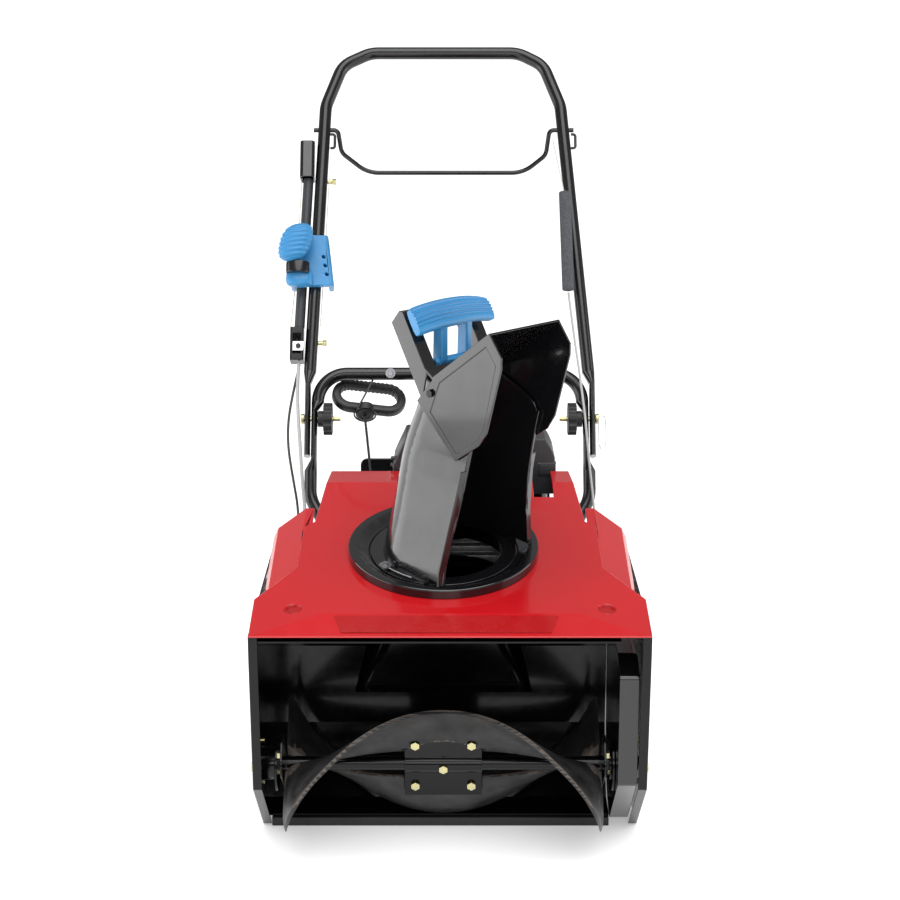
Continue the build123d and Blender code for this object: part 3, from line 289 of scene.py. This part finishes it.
def link(mesh, name, *looks):
    piece = bpy.data.objects.new(name, mesh)
    bpy.context.scene.collection.objects.link(piece)
    mesh.materials.clear()
    for look in looks:
        mesh.materials.append(M[look])
    return piece


def smooth(piece, sharp=40):
    mesh = piece.data
    mesh.polygons.foreach_set("use_smooth", [True] * len(mesh.polygons))
    mesh.set_sharp_from_angle(angle=math.radians(sharp))
    weigh = piece.modifiers.new("weigh", "WEIGHTED_NORMAL")
    weigh.keep_sharp = True
    return piece


def stand_for(piece, *nodes, slot=None):
    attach(piece, body_of(nodes[0]))
    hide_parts(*nodes)
    return piece


def extra(piece, body):
    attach(piece, body)
    return piece


def cad_copy(node):
    bm = bmesh.new()
    bm.from_mesh(frame["nodes"][node].data)
    bmesh.ops.remove_doubles(bm, verts=bm.verts, dist=2e-6)
    return bm


SHARP_FOLD = 34          # degrees: every edge folded more than this is rounded
LONG_EDGE = 0.02         # a shallower fold is rounded only where it runs this far
PLAIN_CREASE = 90        # no shallow folds are rounded


def bevel_edges(bm, width, crease=PLAIN_CREASE):
    # long folds count from the crease angle up, everything else from the sharp angle
    bmesh.ops.dissolve_limit(bm, angle_limit=math.radians(0.6), verts=bm.verts, edges=bm.edges)
    sharp = []
    for edge in bm.edges:
        if len(edge.link_faces) != 2:
            continue
        fold = math.degrees(edge.calc_face_angle(0))
        if fold > SHARP_FOLD or (fold > crease and edge.calc_length() > LONG_EDGE):
            sharp.append(edge)
    bmesh.ops.bevel(bm, geom=sharp, offset=width, segments=2, profile=0.5, affect="EDGES",
                    clamp_overlap=False)


def soften(node, width, crease=PLAIN_CREASE, shape=None):
    # a CAD shell with the rounded edges that a moulding or a deburred sheet has
    bm = cad_copy(node)
    bevel_edges(bm, width, crease)
    for vert in bm.verts if shape else []:
        vert.co = shape(vert.co)
    mesh = bpy.data.meshes.new(node + "_finish")
    bm.to_mesh(mesh)
    bm.free()
    piece = link(mesh, node + "_finish", NODE_LOOK[node])
    smooth(piece)
    return stand_for(piece, node)


def skin(name, sections, look, closed=False):
    # closed outlines joined one after the other, capped at both ends unless the run closes on itself
    bm = bmesh.new()
    rings = [[bm.verts.new(point) for point in section] for section in sections]
    pairs = list(zip(rings, rings[1:]))
    if closed:
        pairs.append((rings[-1], rings[0]))
    count = len(rings[0])
    for a, b in pairs:
        for i in range(count):
            j = (i + 1) % count
            bm.faces.new((a[i], a[j], b[j], b[i]))
    if not closed:
        bm.faces.new(rings[0][::-1])
        bm.faces.new(rings[-1])
    bmesh.ops.recalc_face_normals(bm, faces=bm.faces)
    mesh = bpy.data.meshes.new(name)
    bm.to_mesh(mesh)
    bm.free()
    return smooth(link(mesh, name, look))


def cable(name, points, radius, look):
    curve = bpy.data.curves.new(name, "CURVE")
    curve.dimensions = "3D"
    spline = curve.splines.new("NURBS")
    spline.points.add(len(points) - 1)
    for knot, point in zip(spline.points, points):
        knot.co = (*point, 1)
    spline.use_endpoint_u = True
    spline.order_u = 3
    spline.resolution_u = 12
    curve.bevel_depth = radius
    curve.bevel_resolution = 5
    curve.use_fill_caps = True
    holder = bpy.data.objects.new(name + "_curve", curve)
    bpy.context.scene.collection.objects.link(holder)
    bpy.context.view_layer.update()
    mesh = bpy.data.meshes.new_from_object(holder.evaluated_get(bpy.context.evaluated_depsgraph_get()))
    bpy.data.objects.remove(holder)
    mesh.name = name
    piece = link(mesh, name, look)
    piece.data.polygons.foreach_set("use_smooth", [True] * len(piece.data.polygons))
    return piece


def route(*places):
    return [Vector(place) for place in places]


def plate(name, outline, x0, x1, place, look, width=0.001):
    # a flat outline given thickness along x, with rounded edges
    bm = bmesh.new()
    ends = [[bm.verts.new(place(x, a, b)) for a, b in outline] for x in (x0, x1)]
    bm.faces.new(ends[0][::-1])
    bm.faces.new(ends[1])
    count = len(outline)
    for i in range(count):
        j = (i + 1) % count
        bm.faces.new((ends[0][i], ends[0][j], ends[1][j], ends[1][i]))
    bmesh.ops.recalc_face_normals(bm, faces=bm.faces)
    bmesh.ops.bevel(bm, geom=list(bm.edges), offset=width, segments=3, profile=0.5, affect="EDGES",
                    clamp_overlap=True)
    mesh = bpy.data.meshes.new(name)
    bm.to_mesh(mesh)
    bm.free()
    return smooth(link(mesh, name, look))


def turned(name, profile, base, axis, look, steps=72):
    # a closed (radius, height) outline turned about an axis
    axis = Vector(axis).normalized()
    side = axis.orthogonal().normalized()
    across = axis.cross(side)
    sections = []
    for i in range(steps):
        angle = 2 * math.pi * i / steps
        out = side * math.cos(angle) + across * math.sin(angle)
        sections.append([Vector(base) + out * r + axis * h for r, h in profile])
    return skin(name, sections, look, closed=True)


def loop_wire(name, points, radius, look):
    # a round wire bent into a closed loop
    steps = 12
    sections = []
    count = len(points)
    for i, point in enumerate(points):
        ahead = (points[(i + 1) % count] - points[i - 1]).normalized()
        side = ahead.cross(Vector((0.3, 0.2, 1))).normalized()
        across = ahead.cross(side)
        ring = []
        for k in range(steps):
            angle = 2 * math.pi * k / steps
            ring.append(point + (side * math.cos(angle) + across * math.sin(angle)) * radius)
        sections.append(ring)
    return skin(name, sections, look, closed=True)


# ---- shells that keep their CAD shape and gain moulded edges ----
SOFT_EDGES = {
    "shroud": 0.0014, "chute_collar": 0.0007, "side_fenders": 0.0012, "chute": 0.0009,
    "deflector": 0.0009, "side_plate_left": 0.0006, "side_plate_right": 0.0006, "belt_case": 0.0006,
    "scraper": 0.0012, "rotor_brackets": 0.0006, "engine_cover": 0.002, "blower_housing": 0.0015,
    "control_panel": 0.0012, "muffler_guard": 0.0008, "engine_block": 0.0015, "engine_deck": 0.0006,
    "knob_left": 0.0012, "knob_right": 0.0012, "slider_body": 0.0016, "rail_bracket": 0.0008,
    "pulley_cover": 0.001, "rotor_bolts": 0.0005, "housing_bolts": 0.0006, "handle_bolts": 0.0006,
    "rail_bolts": 0.0005, "choke_knob": 0.0006, "fuel_cap": 0.001, "rotor_bearings": 0.0008,
    "screw_plugs": 0.0005, "cable_sleeve": 0.0015,
}
FOLDED = ("shroud", "side_fenders", "side_plate_left", "side_plate_right", "engine_cover", "slider_body")
FOLD_CREASE = 5
CHEEK_X = -0.2295        # the slider's inner cheek lies inwards of this
CHEEK_S = 0.312          # the height on the handle where its foot begins to flare


def flare(point):
    # the slider's inner cheek leans outwards towards its foot
    if point.x < CHEEK_X:
        return point
    s = (point - PIVOT).dot(ALONG)
    foot = 0.013 * max(0.0, min(1.0, (CHEEK_S - s) / 0.07))
    head = 0.05 * max(0.0, s - CHEEK_S)
    return point + Vector((foot - head, 0, 0))


for node, width in SOFT_EDGES.items():
    crease = FOLD_CREASE if node in FOLDED else PLAIN_CREASE
    soften(node, width, crease, flare if node == "slider_body" else None)


# ---- rotor ----
RUBBER = 0.0095          # a little more than the thickness of the scoops


def cut_edges(bm):
    # faces with no other face close behind them are the rubber's cut edges
    tree = BVHTree.FromBMesh(bm)
    edges = []
    for face in bm.faces:
        start = face.calc_center_median() - face.normal * 0.0004
        hit = tree.ray_cast(start, -face.normal, 0.2)
        edges.append(hit[3] is None or hit[3] > RUBBER)
    return edges


def paddles():
    bm = cad_copy("rotor_paddles")
    edges = cut_edges(bm)
    for face, is_edge in zip(bm.faces, edges):
        face.material_index = 1 if is_edge else 0
    mesh = bpy.data.meshes.new("paddle_pair")
    bm.to_mesh(mesh)
    bm.free()
    kinds = [face.material_index for face in mesh.polygons]
    piece = link(mesh, "paddle_pair", "rubber", "plies")
    mesh.polygons.foreach_set("material_index", kinds)
    smooth(piece)
    stand_for(piece, "rotor_paddles")


paddles()


# ---- wheels ----
LUGS = 22
TREAD_DEPTH = 0.0035
SIDEWALL = 0.014         # the tyre's depth from its crown to its widest line
RIM_RADIUS = 0.07195


def tyre_section(angle, middle, outer, half):
    # blocks of tread on both shoulders, out of step with each other
    points = []
    for i in range(36):
        turn = 2 * math.pi * i / 36
        x = half * math.copysign(abs(math.cos(turn)) ** 0.55, math.cos(turn))
        swell = math.copysign(abs(math.sin(turn)) ** 0.5, math.sin(turn))
        r = outer - SIDEWALL + SIDEWALL * swell
        if math.sin(turn) > 0.2:
            step = math.sin(LUGS * angle + (math.pi if x > 0 else 0) + 40 * abs(x))
            lift = 0.5 + 0.5 * math.tanh(5 * step)
            r -= TREAD_DEPTH * (1 - lift) * min(1.0, abs(x) / (0.2 * half))
        points.append(middle + Vector((x, r * math.cos(angle), r * math.sin(angle))))
    return points


def wheel(node):
    low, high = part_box(node)
    middle = (low + high) / 2
    outer = (high.z - low.z) / 2 - 0.0004
    half = (high.x - low.x) / 2 - 0.0005
    steps = 12 * LUGS
    sections = []
    for i in range(steps):
        sections.append(tyre_section(2 * math.pi * i / steps, middle, outer, half))
    tyre = skin(node + "_tyre", sections, "tyre", closed=True)
    stand_for(tyre, node)
    bm = cad_copy(node)
    away = [v for v in bm.verts if math.hypot(v.co.y - middle.y, v.co.z - middle.z) > RIM_RADIUS]
    bmesh.ops.delete(bm, geom=away, context="VERTS")
    bmesh.ops.holes_fill(bm, edges=bm.edges, sides=0)
    bevel_edges(bm, 0.0008)
    mesh = bpy.data.meshes.new(node + "_rim")
    bm.to_mesh(mesh)
    bm.free()
    rim = smooth(link(mesh, node + "_rim", "black"))
    extra(rim, body_of(node))


for node in ("wheel_left", "wheel_right"):
    wheel(node)


# ---- blue controls ----
TRIGGER_HALF = 0.074
TRIGGER_BACK = 0.0275    # how far its flat back and its bowed front stand off the leg
TRIGGER_FRONT = 0.0365
TRIGGER_ARM = [(0.019, -0.006), (0.034, -0.006), (0.078, 0.022), (0.078, 0.036), (0.066, 0.036),
               (0.024, 0.011)]
TRIGGER_RIB = [(0.022, -0.0045), (0.033, -0.0045), (0.033, 0.008), (0.024, 0.009)]


def trigger_section(u):
    # one slice across the bar, u running from -1 at its left end to 1 at its right end
    droop = 0.006 * u * u + 0.010 * max(0.0, u - 0.45) ** 2
    narrow = 1 - 0.10 * max(0.0, (abs(u) - 0.9) / 0.1) ** 2
    low = 0.0655 - 0.9 * droop + 0.004 * max(0.0, u)
    high = 0.107 - droop
    middle = (low + high) / 2
    reach = (high - low) / 2 * narrow
    x = TRIGGER_HALF * u - 0.002
    section = []
    for k in range(46):
        v = -1 + 2 * k / 45
        ribs = 0.0012 * math.cos(math.pi * 6.5 * (v + 1)) if -0.45 < v < 0.9 else 0.0
        lip = 0.0045 * max(0.0, -v - 0.45)
        swell = 0.004 * (1 - v * v)
        edge = 0.003 * abs(v) ** 8
        section.append(on_leg(x, middle + reach * v, TRIGGER_FRONT + swell + ribs + lip - edge))
    for k in range(8):
        v = 1 - 2 * k / 7
        section.append(on_leg(x, middle + reach * v * 0.97, TRIGGER_BACK + 0.002 * abs(v) ** 4))
    return section


def trigger():
    bar = skin("trigger_bar", [trigger_section(-1 + i / 20) for i in range(41)], "blue")
    stand_for(bar, "trigger")
    for side, x in (("left", -0.024), ("right", 0.024)):
        arm = plate("trigger_arm_" + side, TRIGGER_ARM, x - 0.006, x + 0.006, on_leg, "blue", 0.0022)
        extra(arm, "deflector_trigger")
    rib = plate("trigger_cross_bar", TRIGGER_RIB, -0.037, 0.037, on_leg, "blue", 0.0028)
    extra(rib, "deflector_trigger")


def pillow(name, centre, half, look, ribs=0.0, square=2.6, lean=0.0):
    # a rounded oval lever end, ribbed across its front; centre and half are (x, s, n) on the handle
    sections = []
    rows = 72
    for i in range(rows + 1):
        t = -0.999 + 1.998 * i / rows
        size = (1 - abs(t) ** square) ** (1 / square)
        rise = half[1] * t
        section = []
        for k in range(56):
            angle = 2 * math.pi * k / 56
            c, s = math.cos(angle), math.sin(angle)
            x = half[0] * size * math.copysign(abs(c) ** 0.8, c)
            n = half[2] * size * math.copysign(abs(s) ** 0.8, s)
            if ribs and abs(t) < 0.88 and s > -0.25:
                wave = math.cos(math.pi * 8 * t)
                lift = ribs * math.copysign(abs(wave) ** 0.6, wave) * min(1.0, (s + 0.25) * 3)
                n += lift * s
                x += lift * c
            section.append(on_handle(centre[0] + x + lean * rise, centre[1] + rise + 0.6 * lean * x,
                                     centre[2] + n))
        sections.append(section)
    return skin(name, sections, look)


LEVER_CENTRE = (-0.268, 0.3035, 0.0515)
LEVER_HALF = (0.0278, 0.0335, 0.0165)
FOOT_CENTRE = (-0.262, 0.2445, 0.030)
FOOT_HALF = (0.0235, 0.0150, 0.0125)
COLLAR_CENTRE = (-0.2645, 0.041)            # across and off the handle
COLLAR_HALF = (0.0205, 0.0135)
COLLAR_RINGS = [(0.251, 0.96), (0.2525, 1.0), (0.2690, 1.0), (0.2705, 0.96)]


def slider():
    grip = pillow("slider_lever", LEVER_CENTRE, LEVER_HALF, "blue", ribs=0.0011, lean=0.2)
    stand_for(grip, "slider_grip")
    foot = pillow("slider_foot", FOOT_CENTRE, FOOT_HALF, "blue", square=3.5)
    extra(foot, "chute_slider")
    sections = []
    for s, share in COLLAR_RINGS:
        section = []
        for k in range(48):
            angle = 2 * math.pi * k / 48
            x = COLLAR_CENTRE[0] + COLLAR_HALF[0] * math.cos(angle) * share
            section.append(on_handle(x, s, COLLAR_CENTRE[1] + COLLAR_HALF[1] * math.sin(angle) * share))
        sections.append(section)
    extra(skin("slider_collar", sections, "tube"), "chute_slider")


trigger()
slider()


# ---- recoil starter ----
PULL = Vector(JOINTS["starter_pull"]["axis"]).normalized()
STARTER = Vector((-0.147, 0.262, 0.4613))
STARTER_ROLL = math.radians(10)
STARTER_STRAIGHT = 0.032                    # half of each straight side of the loop
STARTER_BEND = 0.025
STARTER_BOSS = [(0.0034, -0.011), (0.0060, -0.011), (0.0062, -0.0100), (0.0090, -0.0100),
                (0.0092, -0.0110), (0.0130, -0.0110), (0.0150, -0.0100), (0.0160, -0.0080),
                (0.0160, 0.0080), (0.0034, 0.0085)]
ROPE_FOOT = Vector((-0.124, 0.005, 0.386))
ROPE_LAY = 0.016                            # one turn of the strands
STRAND_OFFSET = 0.00115
STRAND_RADIUS = 0.0013


def starter_frame():
    roll = math.sin(STARTER_ROLL)
    across = Vector((math.cos(STARTER_ROLL), roll * PULL.z, -roll * PULL.y))
    return across, across.cross(PULL)


def starter_grip():
    across, normal = starter_frame()
    straight = STARTER_STRAIGHT
    bend = STARTER_BEND
    centre = STARTER + across * 0.006 + PULL * 0.030
    length = 4 * straight + 2 * math.pi * bend
    sections = []
    steps = 220
    for i in range(steps):
        run = length * i / steps
        if run < 2 * straight:
            x, y, out = -straight + run, bend, (0, 1)
        elif run < 2 * straight + math.pi * bend:
            turn = (run - 2 * straight) / bend
            out = (math.sin(turn), math.cos(turn))
            x, y = straight + bend * out[0], bend * out[1]
        elif run < 4 * straight + math.pi * bend:
            x, y, out = straight - (run - 2 * straight - math.pi * bend), -bend, (0, -1)
        else:
            turn = (run - 4 * straight - math.pi * bend) / bend
            out = (-math.sin(turn), -math.cos(turn))
            x, y = -straight + bend * out[0], bend * out[1]
        outward = across * out[0] + PULL * out[1]
        point = centre + across * x + PULL * y
        ribs = 0.0005 * math.cos(2 * math.pi * x / 0.0075) if y > 0.6 * bend else 0.0
        section = []
        for k in range(24):
            angle = 2 * math.pi * k / 24
            c, s = math.cos(angle), math.sin(angle)
            wide = (0.0078 + ribs) * math.copysign(abs(c) ** 0.6, c)
            tall = (0.0088 + ribs) * math.copysign(abs(s) ** 0.6, s)
            section.append(point + outward * wide + normal * tall)
        sections.append(section)
    stand_for(skin("starter_loop", sections, "black_matte", closed=True), "starter_handle")
    boss = turned("starter_boss", STARTER_BOSS, STARTER, PULL, "black_matte")
    extra(boss, "starter_grip")


def starter_rope():
    # three laid strands
    start = ROPE_FOOT
    end = STARTER - PULL * 0.012
    run = end - start
    side = run.orthogonal().normalized()
    across = run.cross(side).normalized()

    def off(angle, radius):
        return (side * math.cos(angle) + across * math.sin(angle)) * radius

    bm = bmesh.new()
    rows = 260
    sides = 10
    for strand in range(3):
        rings = []
        for i in range(rows + 1):
            turn = 2 * math.pi * (i / rows * run.length / ROPE_LAY + strand / 3)
            middle = start + run * (i / rows) + off(turn, STRAND_OFFSET)
            points = [middle + off(2 * math.pi * k / sides, STRAND_RADIUS) for k in range(sides)]
            rings.append([bm.verts.new(point) for point in points])
        for a, b in zip(rings, rings[1:]):
            for k in range(sides):
                bm.faces.new((a[k], a[(k + 1) % sides], b[(k + 1) % sides], b[k]))
        bm.faces.new(rings[0][::-1])
        bm.faces.new(rings[-1])
    bmesh.ops.recalc_face_normals(bm, faces=bm.faces)
    mesh = bpy.data.meshes.new("starter_cord")
    bm.to_mesh(mesh)
    bm.free()
    piece = smooth(link(mesh, "starter_cord", "rope"), 70)
    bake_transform(piece)
    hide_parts("starter_rope")


starter_grip()
starter_rope()


# ---- control cables ----
SHEATH_RADIUS = {"bail": 0.0020, "grey": 0.0030, "black": 0.0022}
WIRE_RADIUS = 0.0008
BAIL_WIRE_RADIUS = 0.0009


def fold_blend(piece, node):
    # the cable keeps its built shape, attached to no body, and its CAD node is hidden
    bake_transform(piece)
    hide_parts(node)


BAIL_CABLE = route(
    on_handle(0.2062, 0.221, 0.023), on_handle(0.214, 0.150, 0.020), on_handle(0.224, 0.070, 0.026),
    on_handle(0.232, -0.010, 0.030), on_handle(0.238, -0.090, 0.026), on_handle(0.244, -0.150, 0.020),
    (0.252, 0.130, 0.250), (0.256, 0.060, 0.232))
GREY_CABLE = route(
    on_handle(-0.2625, 0.098, 0.006), on_handle(-0.264, 0.050, 0.012), on_handle(-0.261, 0.0, 0.020),
    on_handle(-0.256, -0.055, 0.026), on_handle(-0.252, -0.110, 0.024), on_handle(-0.247, -0.160, 0.012),
    (-0.246, 0.120, 0.262), (-0.246, 0.060, 0.236))
BLACK_CABLE = route(
    on_handle(-0.262, 0.098, -0.004), on_handle(-0.272, 0.045, 0.004), on_handle(-0.278, -0.010, 0.022),
    on_handle(-0.276, -0.060, 0.034), on_handle(-0.266, -0.115, 0.034), on_handle(-0.257, -0.165, 0.020),
    (-0.256, 0.110, 0.256), (-0.256, 0.055, 0.226))

fold_blend(cable("bail_cable_sheath", BAIL_CABLE, SHEATH_RADIUS["bail"], "sheath"), "bail_cable")
fold_blend(cable("chute_cable_grey", GREY_CABLE, SHEATH_RADIUS["grey"], "sheath"), "chute_cables")
black_cable = cable("chute_cable_black", BLACK_CABLE, SHEATH_RADIUS["black"], "dark_sheath")
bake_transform(black_cable)


HANDLE_LEG_X = -0.246
HANDLE_LEG_S = 0.014
LEG_LEAN = 0.0235 / 0.563        # the left leg leans inwards towards the top bar
BRACKET_S = 0.165
# each wire's distance from the leg's middle: along the leg, and at the bracket
CONTROL_WIRES = {"control_wire_outer": (-0.0345, -0.0385), "control_wire_inner": (0.0142, 0.0135)}


def left_leg_x(s):
    return HANDLE_LEG_X + LEG_LEAN * (s - HANDLE_LEG_S)


def control_wires():
    # one bare wire up each side of the rail and leg, from the bracket to the hood
    for name, (along, foot) in CONTROL_WIRES.items():
        points = [on_handle(left_leg_x(BRACKET_S) + foot, BRACKET_S, 0.004)]
        points += [on_handle(left_leg_x(s) + along, s, 0.003) for s in (0.225, 0.330, 0.440)]
        extra(cable(name, points, WIRE_RADIUS, "wire"), "folding_handle")


def bail_wire():
    low = on_handle(0.2022, 0.400, 0.023)
    high = on_handle(0.1835, 0.512, 0.002)
    middle = [low.lerp(high, share) for share in (0.33, 0.67)]
    piece = cable("bail_wire", [low, *middle, high], BAIL_WIRE_RADIUS, "wire")
    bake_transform(piece)


control_wires()
bail_wire()


# ---- small fittings ----
LIP_Z = 0.349
CREASE = Vector((0, -0.508, 0.3668))     # where the cover's top folds down into its front lip
BAND_DROP = 0.006                        # from the crease to the band
BAND_PROUD = 0.0010
BAND_OUTLINE = [(-0.158, 0.0), (0.148, 0.0), (0.137, 0.034), (-0.147, 0.034)]


def lip_band():
    # a darker band on the cover's front lip
    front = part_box("shroud")[0].y
    down = (Vector((0, front, LIP_Z)) - CREASE).normalized()
    proud = Vector((0, down.z, -down.y))
    top = CREASE + down * BAND_DROP + proud * BAND_PROUD

    def place(depth, x, run):
        return top + Vector((x, 0, 0)) + down * run + proud * depth

    band = plate("lip_band", BAND_OUTLINE, 0.0, 0.0005, place, "red_dark", 0.0002)
    extra(band, "chassis")


def hex_screw(name, base, axis, across, height, look, body):
    axis = Vector(axis).normalized()
    side = axis.orthogonal().normalized()
    other = axis.cross(side)
    radius = across / math.sqrt(3)
    sections = []
    for r, h in ((radius, 0.0), (radius, height * 0.8), (radius * 0.86, height)):
        corners = [math.pi / 3 * k for k in range(6)]
        outs = [(side * math.cos(angle) + other * math.sin(angle)) * r for angle in corners]
        sections.append([Vector(base) + out + axis * h for out in outs])
    piece = skin(name, sections, look)
    return extra(piece, body)


def washer(name, base, axis, inner, outer, thick, look, body):
    profile = [(inner, 0), (outer, 0), (outer, thick), (inner, thick)]
    return extra(turned(name, profile, base, axis, look, 48), body)


BAR_SCREW = (-0.103, 0.081)      # across and up the handle, on the lower cross bar
BAR_RADIUS = 0.0108
WASHER_THICK = 0.0015


def crossbar_screw():
    facing = Vector((0, -0.95, 0.31)).normalized()
    base = on_handle(*BAR_SCREW) + facing * BAR_RADIUS
    washer("crossbar_washer", base, facing, 0.003, 0.0085, WASHER_THICK, "steel", "chassis")
    top = base + facing * WASHER_THICK
    hex_screw("crossbar_screw", top, facing, 0.010, 0.006, "steel", "chassis")


LATCH_CENTRE = (0.262, -0.026, 0.012)
LATCH_HALF = (0.0065, 0.029)


def latch():
    # a flat loop clipped on the outside of the right leg
    points = []
    for k in range(64):
        angle = 2 * math.pi * k / 64
        c, s = math.cos(angle), math.sin(angle)
        x = LATCH_CENTRE[0] + LATCH_HALF[0] * math.copysign(abs(c) ** 0.5, c)
        rise = LATCH_CENTRE[1] + LATCH_HALF[1] * math.copysign(abs(s) ** 0.8, s)
        points.append(on_handle(x, rise, LATCH_CENTRE[2]))
    extra(loop_wire("leg_latch", points, 0.0013, "latch"), "folding_handle")


BLOCK_S = 0.126          # how far up the handle the block sits
BLOCK_THICK = 0.0042
BLOCK_OUTLINE = [(-0.010, -0.0085), (0.008, -0.0085), (0.010, -0.003), (0.010, 0.0085), (-0.010, 0.0085)]
PIN_PROFILE = [(0.0002, 0.0), (0.0042, 0.0), (0.0042, 0.0022), (0.0034, 0.003), (0.0002, 0.003)]


def cable_end():
    # a pale end block pinned to the rail's bracket
    mesh = frame["nodes"]["rail_bracket"].data
    front = max((v.co - PIVOT).dot(FACING) for v in mesh.vertices)
    low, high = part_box("rail_bracket")
    middle = (low.x + high.x) / 2 + 0.003

    def place(depth, a, b):
        return on_handle(middle + a, BLOCK_S + b, front + depth)

    block = plate("cable_end_block", BLOCK_OUTLINE, 0.0004, BLOCK_THICK, place, "latch", 0.0008)
    extra(block, "folding_handle")
    pin = turned("cable_end_pin", PIN_PROFILE, place(BLOCK_THICK, 0, 0), FACING, "black_matte", 32)
    extra(pin, "folding_handle")


lip_band()
crossbar_screw()
latch()
cable_end()


# ---- studio ----
PAPER_GLOW = 0.35        # a paper sweep throws light back into its own shadow
ROOM_LIGHT = 0.30


def floor():
    mesh = bpy.data.meshes.new("studio_floor")
    corners = [(-60, -60, 0), (60, -60, 0), (60, 90, 0), (-60, 90, 0)]
    mesh.from_pydata(corners, [], [(0, 1, 2, 3)])
    piece = bpy.data.objects.new("studio_floor", mesh)
    bpy.context.scene.collection.objects.link(piece)
    material = new_material("floor_paper", (0.93, 0.93, 0.93), 0.7, specular=0.1)
    vary_color(material, noise(material, 3, 2), (0.925, 0.925, 0.925), (0.94, 0.94, 0.94))
    shader = material.node_tree.nodes["Principled BSDF"]
    shader.inputs["Emission Color"].default_value = (1, 1, 1, 1)
    shader.inputs["Emission Strength"].default_value = PAPER_GLOW
    mesh.materials.append(material)


def aim(holder, place, target):
    holder.location = place
    holder.rotation_euler = (Vector(target) - Vector(place)).to_track_quat("-Z", "Y").to_euler()
    bpy.context.scene.collection.objects.link(holder)


def softbox(name, place, target, size, power):
    light = bpy.data.lights.new(name, "AREA")
    light.shape = "RECTANGLE"
    light.size, light.size_y = size
    light.energy = power
    aim(bpy.data.objects.new(name, light), place, target)


def soft_sun(name, place, strength, spread):
    light = bpy.data.lights.new(name, "SUN")
    light.energy = strength
    light.angle = math.radians(spread)
    aim(bpy.data.objects.new(name, light), place, (0, 0, 0))


def studio():
    floor()
    softbox("left_box", (-1.75, -0.45, 0.76), (0, -0.45, 0.5), (1.9, 1.2), 15)
    softbox("right_box", (1.85, -0.3, 0.80), (0, -0.3, 0.50), (1.5, 1.2), 11)
    softbox("front_box", (0.2, -4.4, 1.9), (0, -0.4, 0.25), (2.2, 0.9), 26)
    soft_sun("overhead", (0.15, -0.7, 2.0), 2.6, 60)
    world = bpy.data.worlds.new("studio_air")
    world.use_nodes = True
    background = world.node_tree.nodes["Background"]
    background.inputs["Color"].default_value = (1, 1, 1, 1)
    # a dim room that the camera itself sees as white
    path = world.node_tree.nodes.new("ShaderNodeLightPath")
    level = world.node_tree.nodes.new("ShaderNodeMapRange")
    level.inputs["To Min"].default_value = ROOM_LIGHT
    level.inputs["To Max"].default_value = 1.0
    world.node_tree.links.new(path.outputs["Is Camera Ray"], level.inputs["Value"])
    world.node_tree.links.new(level.outputs["Result"], background.inputs["Strength"])
    bpy.context.scene.world = world
    bpy.context.scene.view_settings.view_transform = "Standard"


CAMERA = Vector((0, -3.0444, 1.2773))
TARGET = Vector((0, -0.05, 0.475))


def camera():
    lens = bpy.data.cameras.new("camera")
    lens.lens = 78.64
    lens.sensor_width = 36
    holder = bpy.data.objects.new("camera", lens)
    aim(holder, CAMERA, TARGET)
    bpy.context.scene.camera = holder


studio()
camera()
